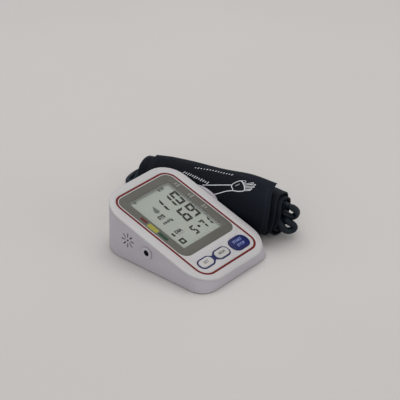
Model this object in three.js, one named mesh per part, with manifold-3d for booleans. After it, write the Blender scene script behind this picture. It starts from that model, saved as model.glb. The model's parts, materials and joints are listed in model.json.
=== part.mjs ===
// Upper-arm digital blood pressure monitor with its rolled cuff and stowed air hose.
// Millimetres. X runs to the right, Y to the back and Z up from the table. The operating face
// slopes down to the front. Panel coordinates are (x, s, n): s runs up the slope from the middle
// of the face and n out of it.

import * as THREE from "three";
import { mergeVertices } from "three/addons/utils/BufferGeometryUtils.js";
import Module from "manifold-3d";

const wasm = await Module();
wasm.setup();

// Clearances
const fit = 0.3; // between pieces that seat on each other
const inlayFit = 0.12; // beside trim that is pressed into a groove
const buttonFit = 0.25; // round a button in its hole

// Display window, the bezel round it and the red line round the whole face
const panelTilt = THREE.MathUtils.degToRad(16.5);
const windowWidth = 55.5;
const windowLength = 71.8;
const windowRadius = 1.5;
const windowS = 13;
const bezelSide = 8.8; // width of the bezel beside, behind and before the window
const bezelBack = 8.95;
const bezelFront = 9.75;
const bezelWidth = windowWidth + 2 * bezelSide;
const bezelBackS = windowS + windowLength / 2 + bezelBack;
const bezelFrontS = windowS - windowLength / 2 - bezelFront;
const bezelRadius = 9;
const bezelThickness = 1.5;
const bezelProud = 0.2;
const lensLip = 2; // of the lens under the bezel, on each side
const lensThickness = 0.9;
const ledgeThickness = 0.9;
const ledgeWidth = 2.5; // of the case under the bezel's edge
const lcdSide = 2.5; // of the display behind the window's edges
const lcdEnd = 2.6;
const lcdWidth = windowWidth + 2 * lcdSide;
const lcdLength = windowLength + 2 * lcdEnd;
const lcdThickness = 2.4;
const holderWall = 2;
const holderShelf = 2;
const holderLedge = 2.5;
const zebraMargin = 5.25;

// Buttons
const softKeyWidth = 19.6; // outside of the blue ring
const softKeyLength = 12.3;
const softKeyRadius = 5.6;
const softKeyRing = 1.2;
const bridgeShoulder = 2.2; // where the bridge leaves a ring, in from its side
const bridgeWaist = 2.6; // half of the bridge's narrowest width
const softKeyGap = 8.5; // between the bezel and the rings
const softKeyS = bezelFrontS - softKeyGap - softKeyLength / 2;
const setKeyX = -23.9;
const memoryKeyX = -1.9;
const startKeyWidth = 22.9;
const startKeyLength = 15.7;
const startKeyRadius = 7;
const startKeyX = 22.7;
const startKeyGap = 7.4;
const startKeyS = bezelFrontS - startKeyGap - startKeyLength / 2;
const keyProud = 0.8;
const ringProud = 0.25;
const ringDepth = 0.8;
const keyFlange = 1.2;
const keyFlangeThickness = 1;
const keyTravel = 0.8;
const stemRadius = 2;
const stemLength = 0.6;
const plungerRadius = 1.7;
const plungerLength = 1.6;
const switchSide = 6;

// Red line
const trimBand = 2;
const trimDepth = 0.8;
const trimRadius = 12.75;
const trimSide = 1.45; // face between the bezel and the line
const trimBack = 1.3;
const trimFront = 3.4; // between the start key and the line
const trimWidth = bezelWidth + 2 * (trimSide + trimBand);
const trimBackS = bezelBackS + trimBack + trimBand;
const trimFrontS = startKeyS - startKeyLength / 2 - trimFront - trimBand;

// Housing
const rimSide = 10; // from the line to the case's outline, seen from above
const rimBack = 8.57;
const rimFront = 6.87;
const caseWidth = trimWidth + 2 * rimSide;
const caseFront = trimFrontS * Math.cos(panelTilt) - rimFront;
const caseBack = trimBackS * Math.cos(panelTilt) + rimBack;
const panelHeight = 31; // middle of the face above the table
const footHeight = 0.6; // case floor above the table
const wall = 2.4;
const floorThickness = 2.4;
const panelThickness = 2.4;
const backLeftRadius = 29; // corners seen from above
const backRightRadius = 24;
const frontRimRadius = 26;
const frontToeRadius = 16; // front corners at the floor
const skirtDepth = 1.4; // rim of the upper case below the face
const tongueDepth = 3.5; // of the upper case inside the lower one
const tongueThickness = 1;
const rimOverhang = 0.2; // of the upper case past the lower one
const rimRounding = 1.2;
const wallDraft = 0.15;
const toeChamfer = 0.5;
const gripReach = 5.6; // finger grip that bulges from the right side
const gripLength = 30;
const gripRise = 2.8;
const gripY = 17;
const cornerSteps = 7;

// Circuit board
const holderWidth = lcdWidth + 2 * (fit + holderWall);
const holderLength = lcdLength + 2 * (fit + holderWall);
const boardMargin = 3.45; // of the board beside the display's holder
const boardWidth = holderWidth + 2 * boardMargin;
const boardBackS = windowS + holderLength / 2 + 0.2;
const boardFrontS = startKeyS - switchSide;
const boardThickness = 1.6;
const boardScrewX = boardWidth / 2 - 6;
const boardScrewS = windowS - holderLength / 2 - 5.7;
const chipSide = 14;
const chipX = 12;
const chipS = -25;
const sensorX = -16;
const sensorS = -2;
const sensorSide = 8;
const sensorHeight = 4;
const portS = -11;
const portWidth = 9;
const portHeight = 3.3;
const portLength = 7.2;

// Air circuit
const jackY = 4.1;
const jackZ = 18.9;
const jackBoreRadius = 3;
const jackMouth = 0.6; // chamfer of its mouth
const jackBarrelRadius = 5;
const jackFlangeRadius = 6.2;
const jackBoreDepth = 9.9;
const jackFlangeThickness = 0.9;
const nozzleRadius = 1;
const nozzleBore = 0.5;
const nozzleLength = 2.6;
const tubeWall = 0.8;
const motorRadius = 8.3;
const motorLength = 26;
const sleeveThickness = 0.8;
const pumpHeadSide = 2 * motorRadius;
const pumpHeadLength = 14;
const pumpFrontY = 10;
const airLineZ = 9; // pump nozzle, manifold and valve lie on one line
const manifoldSide = 6;
const valveWidth = 12;
const valveLength = 15;
const valveHeight = 8.2;

// Speaker
const speakerY = 27.5;
const speakerZ = 22.6;
const speakerRadius = 7;
const speakerThickness = 3.2;
const speakerSlots = 8;
const slotInner = 3;
const slotOuter = 7.6;
const slotWidth = 1.15;

// Batteries
const cellRadius = 5.25;
const cellLength = 44.5;
const cellCount = 4;
const cellPitch = 2 * cellRadius + 0.7;
const bayX = 1.5;
const bayFrontY = 6.2;
const bayWall = 1.6;
const springLength = 3.8;
const dimpleLength = 1;
const contactThickness = 0.5;
const coverThickness = 2;
const coverTongue = 1.2;
const coverTongueThickness = 0.7;

// Fasteners and feet
const screwHeadRadius = 2.5;
const screwHeadHeight = 1.8;
const screwShankRadius = 1.3;
const screwLength = 9;
const postRadius = 4;
const bossRadius = 2.8;
const frontScrew = { x: caseWidth / 2 - wall - 6.6, y: caseFront + 27.5, seatZ: 6 };
const backScrew = { x: 30, y: caseBack - wall - 6.2, seatZ: 22 };
const footRadius = 5;
const footRecess = 0.6;
const footFront = [caseWidth / 2 - 14, caseFront + 15.5];
const footBack = [caseWidth / 2 - 11.5, caseBack - 22.2];
const footPlaces = [footFront, footBack].flatMap(([x, y]) => [[-x, y], [x, y]]);

// Cuff roll. It lies beside the monitor: along runs from its right-hand end to its far end.
const cuffEndX = 81.2;
const cuffEndY = -50;
const cuffYaw = THREE.MathUtils.degToRad(93.52);
const cuffWidth = 165;
const cuffPadNear = 2.2; // thickness at the right-hand end, over the bladder
const cuffPadFar = 1.5;
const cuffTurns = 3.25;
const cuffStepsPerTurn = 24;
// Outer radius of the roll by turns from the free edge inwards, at either end
const rollNear = [[0, 27.4], [0.5, 25.4], [0.95, 22], [1.5, 20.3], [1.95, 18.6], [3.25, 11.6]];
const rollFar = [[0, 18], [3.25, 8.5]];
const rollSag = [[0, 0], [0.5, 0], [0.95, 2.3], [3.25, 2.3]]; // inner turns at the right-hand end
const rollBulge = 0.8;
const shoulderStart = 132; // where the far end begins to close in
const shoulderSlope = 0.07;
const rollFlat = 0.5; // pressed flat where the roll rests
const flapAngle = THREE.MathUtils.degToRad(85);
// How far the cloth's edges lie inside the cuff's width, by turns from the free edge inwards
const insetNear = [
  [0, 8], [0.3, 3.5], [0.38, 7], [0.46, 12], [0.56, 12], [0.7, 5], [0.95, 2.2],
  [1.3, 1.8], [1.45, 5], [1.6, 4], [1.95, 0.5], [2.6, 0.5], [3.25, 4],
];
const insetFar = [[0, 16], [0.45, 16], [0.95, 1], [1.45, 1], [1.95, 0], [3.25, 0]];
const slantOut = 7; // of the right-hand end, towards the monitor
const slantIn = 4; // and away from it
const flapLift = 0.9;

// Air hose with its plug
const hoseDiameter = 5.5;
const glandLength = 5;
const glandRadius = 3.7;
const plugLength = 26;
const plugRadius = 4;

const { PI, cos, sin, tan, max, min } = Math;
const rise = tan(panelTilt);
const count = (n) => Array.from({ length: n }, (_, k) => k);
const V = (x, y, z) => new THREE.Vector3(x, y, z);

// Solids

function toSolid(geometry) {
  const bare = new THREE.BufferGeometry();
  bare.setAttribute("position", geometry.getAttribute("position").clone());
  if (geometry.index) bare.setIndex(geometry.index.clone());
  const merged = mergeVertices(bare, 1e-4);
  return new wasm.Manifold(
    new wasm.Mesh({
      numProp: 3,
      vertProperties: new Float32Array(merged.attributes.position.array),
      triVerts: new Uint32Array(merged.index.array),
    }),
  );
}

function toGeometry(solid) {
  const mesh = solid.getMesh();
  const geometry = new THREE.BufferGeometry();
  geometry.setAttribute("position", new THREE.BufferAttribute(new Float32Array(mesh.vertProperties), 3));
  geometry.setIndex(new THREE.BufferAttribute(new Uint32Array(mesh.triVerts), 1));
  return geometry;
}

function join(...parts) {
  return toGeometry(parts.map(toSolid).reduce((all, next) => all.add(next)));
}

function cut(body, ...tools) {
  return toGeometry(tools.map(toSolid).reduce((left, tool) => left.subtract(tool), toSolid(body)));
}

// Triangles over a flat ring of points, as index triples into the ring.
function capOf(ring) {
  const normal = V(0, 0, 0);
  ring.forEach((p, k) => normal.add(V(0, 0, 0).crossVectors(p, ring[(k + 1) % ring.length])));
  const middle = ring.reduce((all, p) => all.add(p), V(0, 0, 0)).divideScalar(ring.length);
  const turn = new THREE.Quaternion().setFromUnitVectors(normal.normalize(), V(0, 0, 1));
  const flat = ring.map((p) => p.clone().sub(middle).applyQuaternion(turn));
  return THREE.ShapeUtils.triangulateShape(flat.map((p) => new THREE.Vector2(p.x, p.y)), []);
}

// One closed body through rings that hold the same number of points.
function loft(rings) {
  const size = rings[0].length;
  const index = [];
  for (let r = 0; r + 1 < rings.length; r++) {
    for (let k = 0; k < size; k++) {
      const a = r * size + k;
      const b = r * size + ((k + 1) % size);
      index.push(a, b, b + size, a, b + size, a + size);
    }
  }
  capOf(rings[0]).forEach(([a, b, c]) => index.push(a, c, b));
  const last = (rings.length - 1) * size;
  capOf(rings[rings.length - 1]).forEach(([a, b, c]) => index.push(last + a, last + b, last + c));
  const points = rings.flat();
  let volume = 0;
  for (let k = 0; k < index.length; k += 3) {
    const [a, b, c] = [points[index[k]], points[index[k + 1]], points[index[k + 2]]];
    volume += a.dot(V(0, 0, 0).crossVectors(b, c));
  }
  if (volume < 0) index.reverse();
  const geometry = new THREE.BufferGeometry().setFromPoints(points);
  geometry.setIndex(index);
  return geometry;
}

function box(x0, x1, y0, y1, z0, z1) {
  const geometry = new THREE.BoxGeometry(x1 - x0, y1 - y0, z1 - z0);
  return geometry.translate((x0 + x1) / 2, (y0 + y1) / 2, (z0 + z1) / 2);
}

function cylinder(radius, x, y, z0, z1, sides = 20) {
  const geometry = new THREE.CylinderGeometry(radius, radius, z1 - z0, sides);
  return geometry.rotateX(PI / 2).translate(x, y, (z0 + z1) / 2);
}

// A turned piece about the Z axis from [radius, height] pairs; a bored one closes on itself.
function turned(profile, sides = 20) {
  const points = profile.map(([r, z]) => new THREE.Vector2(r, z));
  if (points[0].x > 0) points.push(points[0].clone());
  return upright(new THREE.LatheGeometry(points, sides));
}

function upright(geometry) {
  const solid = toSolid(geometry.rotateX(PI / 2));
  const outward = toGeometry(solid);
  return solid.volume() < 0 ? flipped(outward) : outward;
}

function flipped(geometry) {
  geometry.setIndex(Array.from(geometry.index.array).reverse());
  return geometry;
}

// Lays a piece that was turned about Z along another direction.
function along(geometry, direction, x, y, z) {
  const turn = new THREE.Quaternion().setFromUnitVectors(V(0, 0, 1), direction.clone().normalize());
  return geometry.applyQuaternion(turn).translate(x, y, z);
}

function roundedRect(width, length, radius, x = 0, s = 0, steps = 5) {
  const shape = new THREE.Shape();
  const [a, b] = [width / 2 - radius, length / 2 - radius];
  [[a, b, 0], [-a, b, 1], [-a, -b, 2], [a, -b, 3]].forEach(([cx, cy, quarter]) => {
    count(steps + 1).forEach((k) => {
      const angle = (quarter + k / steps) * (PI / 2);
      const point = [x + cx + radius * cos(angle), s + cy + radius * sin(angle)];
      if (quarter + k === 0) shape.moveTo(...point);
      else shape.lineTo(...point);
    });
  });
  return shape;
}

function prism(shape, n0, n1) {
  return new THREE.ExtrudeGeometry(shape, { depth: n1 - n0, bevelEnabled: false }).translate(0, 0, n0);
}

// A prism whose upper edge is rounded over.
function softPrism(shape, n0, n1, rounding) {
  const options = {
    depth: n1 - n0 - 2 * rounding,
    bevelSize: rounding,
    bevelThickness: rounding,
    bevelOffset: -rounding,
    bevelSegments: 2,
  };
  return new THREE.ExtrudeGeometry(shape, options).translate(0, 0, n0 + rounding);
}

function frameShape(outer, inner) {
  outer.holes.push(new THREE.Path(inner.getPoints()));
  return outer;
}

function onPanel(geometry) {
  return geometry.rotateX(panelTilt).translate(0, 0, panelHeight);
}

function circle(radius, sides) {
  const shape = new THREE.Shape();
  count(sides).forEach((k) => {
    const angle = (2 * PI * (k + 0.5)) / sides;
    if (k === 0) shape.moveTo(radius * cos(angle), radius * sin(angle));
    else shape.lineTo(radius * cos(angle), radius * sin(angle));
  });
  return shape;
}

function tube(points, radius, bore, steps, sides = 8) {
  const shape = circle(radius, sides);
  if (bore > 0) shape.holes.push(new THREE.Path(circle(bore, sides).getPoints()));
  const path = new THREE.CatmullRomCurve3(points, false, "centripetal");
  return new THREE.ExtrudeGeometry(shape, { steps, bevelEnabled: false, extrudePath: path });
}

// Scene graph

const root = new THREE.Group();
const panel = new THREE.Group();
panel.rotation.x = panelTilt;
panel.position.z = panelHeight;
root.add(panel);

function add(group, name, geometry, color, roughness, metalness = 0) {
  const faces = geometry.index ? geometry.toNonIndexed() : geometry;
  faces.computeVertexNormals();
  const mesh = new THREE.Mesh(faces, new THREE.MeshStandardMaterial({ color, roughness, metalness }));
  mesh.name = name;
  group.add(mesh);
  return mesh;
}

const white = 0xe9e7ea;
const shade = 0xdcdae2;
const red = 0x8e2a2a;
const bezelGrey = 0x75786f;
const lcdGreen = 0xa9b2a4;
const blue = 0x25307c;
const black = 0x17181b;
const rubber = 0x3a3b3e;
const nickel = 0xb9b8b0;
const boardGreen = 0x1f5a3a;
const cloth = 0x171d27;
const hoseColor = 0x1c2a33;

// Housing

// The case outline seen from above, with the front corners' radius given.
function outline(inset, frontRadius) {
  const [x, back, front] = [caseWidth / 2 - inset, caseBack - inset, caseFront + inset];
  const [r, l, f] = [backRightRadius - inset, backLeftRadius - inset, frontRadius - inset];
  const corners = [[x - r, back - r, r], [l - x, back - l, l], [f - x, f + front, f], [x - f, f + front, f]];
  return corners.flatMap(([cx, cy, r], quarter) =>
    count(cornerSteps + 1).map((k) => {
      const angle = (quarter + k / cornerSteps) * (PI / 2);
      return [cx + r * cos(angle), cy + r * sin(angle)];
    }),
  );
}

const slopeZ = (y, n) => panelHeight + y * rise + n / cos(panelTilt);

function levelRing(z, inset, frontRadius) {
  return outline(inset, frontRadius).map(([x, y]) => V(x, y, z));
}

function slopeRing(n, inset) {
  return outline(inset, frontRimRadius).map(([x, y]) => V(x, y, slopeZ(y, n)));
}

const floorTop = footHeight + floorThickness;
const bezelFloor = bezelProud - bezelThickness - fit;
const ledgeBottom = bezelFloor - ledgeThickness;
const lcdTop = ledgeBottom - fit;
const lcdBottom = lcdTop - lcdThickness;
const boardTop = lcdBottom - fit - holderShelf - fit;
const boardBottom = boardTop - boardThickness;
const bayLength = cellLength + springLength + dimpleLength + 2 * (contactThickness + 2 * fit);
const bayBackY = bayFrontY + bayLength;
const bayHalf = (cellCount * cellPitch) / 2 + 1.1;
const pumpX = bayX - bayHalf - bayWall - motorRadius - fit - sleeveThickness - 0.4;
const coverTop = footHeight + coverThickness;
const cellZ = coverTop + fit + cellRadius;
const bayTop = cellZ + cellRadius + fit;
const coverHalf = bayHalf - coverTongue - fit;
const coverFrontY = bayFrontY - bayWall - 1;
const coverBackY = caseBack - wallDraft - toeChamfer + 0.2;
const wallInnerX = caseWidth / 2 - wall;
const screwPlaces = [-1, 1].flatMap((side) => [
  { ...frontScrew, x: side * frontScrew.x },
  { ...backScrew, x: side * backScrew.x },
]);

function speakerGrille() {
  const reach = 2 * (wall + 0.7);
  const slots = count(speakerSlots).map((k) =>
    new THREE.BoxGeometry(reach, slotWidth, slotOuter - slotInner)
      .translate(0, 0, (slotInner + slotOuter) / 2)
      .rotateX((2 * PI * k) / speakerSlots),
  );
  const eye = new THREE.CylinderGeometry(slotWidth, slotWidth, reach, 12).rotateZ(PI / 2);
  return [...slots, eye].map((g) => g.translate(-caseWidth / 2, speakerY, speakerZ));
}

function lowerCase() {
  const parting = -skirtDepth - fit;
  const shell = loft([
    levelRing(footHeight, wallDraft + toeChamfer, frontToeRadius),
    levelRing(footHeight + toeChamfer, wallDraft, frontToeRadius),
    slopeRing(parting, 0),
  ]);
  const hollow = loft([
    levelRing(floorTop, wall + 0.6, frontToeRadius),
    levelRing(floorTop + 0.6, wall, frontToeRadius),
    slopeRing(parting, wall),
    slopeRing(parting + 3, wall),
  ]);
  const bay = box(
    bayX - bayHalf - bayWall, bayX + bayHalf + bayWall,
    bayFrontY - bayWall, bayBackY + bayWall,
    footHeight + 0.5, bayTop + bayWall,
  );
  const bayRoom = box(bayX - bayHalf, bayX + bayHalf, bayFrontY, bayBackY, coverTop, bayTop);
  const dividers = count(cellCount - 1).map((k) => {
    const x = bayX + (k + 1 - cellCount / 2) * cellPitch;
    return box(x - 0.8, x + 0.8, bayFrontY + 2, bayBackY - 2, cellZ + 0.6 * cellRadius, bayTop + 0.5);
  });
  const posts = screwPlaces.map((p) =>
    cylinder(postRadius, p.x, p.y, floorTop - 0.5, p.seatZ + 3),
  );
  const cradleZ = pumpZ();
  const cradles = [pumpFrontY + pumpHeadLength + 5, pumpFrontY + pumpHeadLength + motorLength - 6].map((y) =>
    box(-wallInnerX - 1, bayX - bayHalf - bayWall + 0.5, y, y + bayWall, floorTop - 0.5, cradleZ),
  );
  const valveStops = [-1, 1].map((side) => {
    const x = pumpX + side * (valveWidth / 2 + fit);
    return box(min(x, x + side * 1.2), max(x, x + side * 1.2), valveBackY() - valveLength, valveBackY() - 3,
      floorTop - 0.5, floorTop + 3);
  });
  const speakerSeat = along(
    turned([[speakerRadius + fit, 0], [speakerRadius + fit + 1.2, 0],
      [speakerRadius + fit + 1.2, speakerThickness], [speakerRadius + fit, speakerThickness]], 24),
    V(1, 0, 0), -wallInnerX - 1, speakerY, speakerZ,
  );
  const cradleRoom = along(
    cylinder(motorRadius + sleeveThickness + 2 * fit, 0, 0, 0, pumpHeadLength + motorLength + 2, 24),
    V(0, 1, 0), pumpX, pumpFrontY, cradleZ,
  );
  const coverSlot = box(bayX - coverHalf - fit, bayX + coverHalf + fit, coverFrontY - fit, 2 * caseBack,
    0, coverTop + fit);
  const grooveBottom = coverTop - coverTongueThickness - fit;
  const coverGroove = box(bayX - bayHalf, bayX + bayHalf, coverFrontY - fit, 2 * caseBack,
    grooveBottom, coverTop + fit);
  const footRooms = footPlaces.map(([x, y]) =>
    cylinder(footRadius + fit, x, y, footHeight - 1, footHeight + footRecess),
  );
  const shelf = box(
    bayX - bayHalf - bayWall, bayX + bayHalf + bayWall,
    coverFrontY - fit - bayWall, caseBack - 1,
    footHeight + 0.5, floorTop + 1.2,
  );
  const screwRooms = screwPlaces.flatMap((p) => [
    cylinder(screwHeadRadius + fit, p.x, p.y, 0, p.seatZ),
    cylinder(screwShankRadius + fit, p.x, p.y, p.seatZ - 1, p.seatZ + 5, 12),
  ]);
  const jackHole = along(
    cylinder(jackBarrelRadius + fit, 0, 0, -6, 6, 24), V(1, 0, 0), -caseWidth / 2, jackY, jackZ,
  );
  const portHole = onPanel(
    box(wallInnerX - 3, caseWidth / 2 + 2, portS - portWidth / 2 - fit, portS + portWidth / 2 + fit,
      boardBottom - 2 * fit - portHeight, boardBottom + fit / 2),
  );
  const fixtures = toSolid(join(...posts, ...cradles, ...valveStops, speakerSeat, shelf))
    .intersect(toSolid(shell));
  const hollowed = toSolid(shell).add(toSolid(grip())).subtract(toSolid(hollow))
    .add(fixtures).add(toSolid(bay));
  const roomed = hollowed.subtract(toSolid(bayRoom)).add(toSolid(join(...dividers)));
  return cut(toGeometry(roomed), cradleRoomAbove(cradleRoom), coverSlot, coverGroove, ...footRooms,
    ...screwRooms, jackHole, portHole, ...speakerGrille());
}

// The bulge under the fingers, clear of the upper case's rim.
function grip() {
  const bulge = new THREE.SphereGeometry(1, 24, 14)
    .scale(gripReach + 2, gripLength / 2, gripRise)
    .translate(caseWidth / 2 - 2, 0, 0);
  const rim = box(0, caseWidth / 2 + rimOverhang + fit, -caseWidth, caseWidth, -fit, caseWidth);
  const level = slopeZ(gripY, -skirtDepth - 0.8);
  return cut(...[bulge, rim].map((g) => g.rotateX(panelTilt).translate(0, gripY, level)));
}

// The pump's cradle is only cut where the cradle ribs are, clear of the floor below it.
function cradleRoomAbove(room) {
  const keep = box(-wallInnerX + 0.6, bayX - bayHalf - bayWall, 0, 2 * caseBack, floorTop, 60);
  return toGeometry(toSolid(room).intersect(toSolid(keep)));
}

function pumpZ() {
  return floorTop + fit + motorRadius + sleeveThickness + fit;
}

function valveBackY() {
  return -manifoldSide / 2 - 2 * nozzleLength - 0.8;
}

function upperCase() {
  const out = -rimOverhang;
  const inner = wall + fit + tongueThickness;
  const shell = loft([
    slopeRing(-skirtDepth - tongueDepth, wall + fit),
    slopeRing(-skirtDepth, wall + fit),
    slopeRing(-skirtDepth, out),
    slopeRing(-rimRounding, out),
    slopeRing(-0.45 * rimRounding, out + 0.16 * rimRounding),
    slopeRing(-0.13 * rimRounding, out + 0.5 * rimRounding),
    slopeRing(0, out + rimRounding),
  ]);
  const hollow = loft([
    slopeRing(-skirtDepth - tongueDepth - 2, inner),
    slopeRing(-panelThickness, inner),
  ]);
  const ledge = onPanel(prism(
    faceRect(ledgeWidth, bezelRadius + ledgeWidth), ledgeBottom, bezelFloor));
  const bosses = screwPlaces.map((p) =>
    cylinder(bossRadius, p.x, p.y, p.seatZ + 3 + fit, slopeZ(p.y, -panelThickness) + 1, 16),
  );
  const boardBosses = [-1, 1].map((side) =>
    onPanel(cylinder(2.4, side * boardScrewX, boardScrewS, boardTop + fit, -panelThickness + 1, 16)),
  );
  const hooks = [-1, 1].map((side) => {
    const x = side * 23;
    const toeTop = boardBottom - fit;
    const leg = box(x - 3, x + 3, boardBackS + fit, boardBackS + 2, toeTop - 1, -panelThickness + 1);
    const toe = box(x - 3, x + 3, boardBackS - 1, boardBackS + 2, toeTop - 1.4, toeTop);
    return onPanel(join(leg, toe));
  });
  const fixtures = join(ledge, ...bosses, ...boardBosses, ...hooks);
  const solid = toSolid(shell).subtract(toSolid(hollow)).add(toSolid(fixtures));
  const bezelRecess = prism(faceRect(fit, bezelRadius + fit), bezelFloor, 2);
  const opening = prism(
    roundedRect(windowWidth + 1, windowLength + 1, windowRadius, 0, windowS, 3), ledgeBottom - 1, 2);
  const groove = prism(trimShape(inlayFit), -trimDepth - inlayFit, 2);
  const ringRoom = prism(ringOutline(inlayFit), -ringDepth - inlayFit, 2);
  const keyHoles = [setKeyX, memoryKeyX].map((x) =>
    prism(softKey(-softKeyRing, x), -panelThickness - 1, 2),
  );
  const startHole = prism(startKey(buttonFit), -panelThickness - 1, 2);
  const boardBores = [-1, 1].map((side) =>
    cylinder(1.2, side * boardScrewX, boardScrewS, boardTop - 1, -panelThickness, 10),
  );
  const bores = screwPlaces.map((p) =>
    cylinder(screwShankRadius + fit, p.x, p.y, p.seatZ, p.seatZ + screwLength + 1, 12),
  );
  const panelTools = [bezelRecess, opening, groove, ringRoom, ...keyHoles, startHole, ...boardBores];
  return cut(toGeometry(solid), ...panelTools.map(onPanel), ...bores);
}

// Outline of the bezel, grown all round.
function faceRect(grow, radius) {
  const [length, middle] = [bezelBackS - bezelFrontS, (bezelBackS + bezelFrontS) / 2];
  return roundedRect(bezelWidth + 2 * grow, length + 2 * grow, radius, 0, middle);
}

// The red line, grown on both of its sides.
function trimShape(grow) {
  const [length, middle] = [trimBackS - trimFrontS, (trimBackS + trimFrontS) / 2];
  const at = (inset) =>
    roundedRect(trimWidth - 2 * inset, length - 2 * inset, trimRadius - inset, 0, middle, 7);
  return frameShape(at(-grow), at(trimBand + grow));
}

function softKey(grow, x) {
  return roundedRect(softKeyWidth + 2 * grow, softKeyLength + 2 * grow, softKeyRadius + grow, x, softKeyS);
}

function startKey(grow) {
  return roundedRect(startKeyWidth + 2 * grow, startKeyLength + 2 * grow, startKeyRadius + grow,
    startKeyX, startKeyS);
}

// Outside of the two blue rings and the waisted bridge between them. The second half is the first
// one turned about the middle of the bridge.
function ringOutline(grow) {
  const middle = (setKeyX + memoryKeyX) / 2;
  const shoulder = setKeyX + softKeyWidth / 2 - bridgeShoulder;
  const ring = softKey(grow, setKeyX).getPoints().filter((p) => p.x < shoulder);
  const half = [[0, bridgeWaist + grow], ...ring.map((p) => [p.x - middle, p.y - softKeyS])];
  const loop = [...half, ...half.map(([x, s]) => [-x, -s])];
  return new THREE.Shape(loop.map(([x, s]) => new THREE.Vector2(middle + x, softKeyS + s)));
}

add(root, "lower_case", lowerCase(), shade, 0.5);
add(root, "upper_case", upperCase(), white, 0.4);

// Trim, display and buttons

add(panel, "red_trim_ring", prism(trimShape(0), -trimDepth, 0.15), red, 0.35);

const bezelBottom = bezelProud - bezelThickness;
const rebateTop = bezelBottom + lensThickness + fit;
const bezel = cut(
  prism(faceRect(0, bezelRadius), bezelBottom, bezelProud),
  prism(roundedRect(windowWidth, windowLength, windowRadius, 0, windowS, 3), bezelBottom - 1, 2),
  prism(
    roundedRect(windowWidth + 2 * lensLip, windowLength + 2 * lensLip, windowRadius + 1, 0, windowS, 3),
    bezelBottom - 1, rebateTop,
  ),
);
add(panel, "display_bezel", bezel, bezelGrey, 0.45);
const lensMargin = 2 * (lensLip - fit);
const lensShape = roundedRect(
  windowWidth + lensMargin, windowLength + lensMargin, windowRadius + 0.7, 0, windowS, 3,
);
add(panel, "display_lens", prism(lensShape, bezelBottom, bezelBottom + lensThickness), 0xdfe5e2, 0.05);

function plate(width, length, x, s, n0, n1) {
  return box(x - width / 2, x + width / 2, s - length / 2, s + length / 2, n0, n1);
}

add(panel, "lcd_panel", plate(lcdWidth, lcdLength, 0, windowS, lcdBottom, lcdTop), lcdGreen, 0.25);
const holderBottom = boardTop + fit;
const holder = cut(
  plate(holderWidth, holderLength, 0, windowS, holderBottom, lcdTop),
  plate(lcdWidth + 2 * fit, lcdLength + 2 * fit, 0, windowS, lcdBottom - fit, 0),
  plate(lcdWidth - 2 * holderLedge, lcdLength - 2 * holderLedge, 0, windowS, holderBottom - 1, 0),
);
add(panel, "lcd_holder", holder, 0xd8d8d4, 0.6);
const zebraS = windowS - lcdLength / 2 + holderLedge + 1.6;
const zebra = plate(lcdWidth - 2 * zebraMargin, 2, 0, zebraS, holderBottom, lcdBottom - fit);
add(panel, "zebra_strip", zebra, 0x6f6a66, 0.7);

const buttonTrim = cut(
  prism(ringOutline(0), -ringDepth, ringProud),
  ...[setKeyX, memoryKeyX].map((x) => prism(softKey(-softKeyRing, x), -2, 2)),
);
add(panel, "button_trim", buttonTrim, blue, 0.35);

const flangeTop = -panelThickness - fit;
const stemBottom = flangeTop - keyFlangeThickness - stemLength;
const plungerTop = stemBottom - fit;
const plungerBottom = plungerTop - plungerLength;
const switchBottom = boardTop + fit;
const switchTop = stemBottom - keyTravel - 0.5;

function keyCap(shapeAt, x, s) {
  return join(
    softPrism(shapeAt(0), flangeTop - 0.5, keyProud, 0.45),
    prism(shapeAt(keyFlange), flangeTop - keyFlangeThickness, flangeTop),
    cylinder(stemRadius, x, s, stemBottom, flangeTop - 0.2, 16),
  );
}

const softCap = (x) => (grow) => softKey(-softKeyRing - buttonFit + grow, x);
const keys = [
  ["set", setKeyX, softKeyS, softCap(setKeyX), 0xd9d8dc],
  ["memory", memoryKeyX, softKeyS, softCap(memoryKeyX), 0xd9d8dc],
  ["start_stop", startKeyX, startKeyS, startKey, blue],
];
keys.forEach(([name, x, s, shapeAt, color]) => {
  const body = cut(
    plate(switchSide, switchSide, x, s, switchBottom, switchTop),
    cylinder(plungerRadius + fit, x, s, plungerBottom - keyTravel - fit, 0, 16),
  );
  add(panel, name + "_button", keyCap(shapeAt, x, s), color, 0.4);
  add(panel, name + "_plunger", cylinder(plungerRadius, x, s, plungerBottom, plungerTop, 16), black, 0.5);
  add(panel, name + "_switch", body, black, 0.45);
});

// Circuit board and what sits on it

const boardEdge = boardWidth / 2;
const notchX = -31;
const tabX = 46;
const boardShape = new THREE.Shape();
[
  [-boardEdge, boardFrontS], [boardEdge, boardFrontS],
  [boardEdge, portS - 7], [tabX, portS - 7], [tabX, portS + 7], [boardEdge, portS + 7],
  [boardEdge, boardBackS], [-boardEdge, boardBackS],
  [-boardEdge, 13], [notchX, 13], [notchX, -3], [-boardEdge, -3],
].forEach(([x, s], k) => (k ? boardShape.lineTo(x, s) : boardShape.moveTo(x, s)));
const board = cut(
  prism(boardShape, boardBottom, boardTop),
  ...[-1, 1].map((side) =>
    cylinder(1.2, side * boardScrewX, boardScrewS, boardBottom - 1, boardTop + 1, 12),
  ),
);
add(panel, "main_pcb", board, boardGreen, 0.5);
const underBoard = boardBottom - fit;
add(panel, "main_chip", plate(chipSide, chipSide, chipX, chipS, underBoard - 1.6, underBoard), black, 0.4);
const sensorNozzleN = underBoard - 2.5;
const sensorBody = plate(sensorSide, sensorSide, sensorX, sensorS, underBoard - sensorHeight, underBoard);
const sensorNozzle = along(
  cylinder(nozzleRadius, 0, 0, -0.5, nozzleLength, 10), V(-1, 0, 0),
  sensorX - sensorSide / 2, sensorS, sensorNozzleN,
);
add(panel, "pressure_sensor", join(sensorBody, sensorNozzle), 0x2b2d33, 0.45);
const portX = caseWidth / 2 - 0.8;
const portBackX = portX - portLength;
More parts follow.
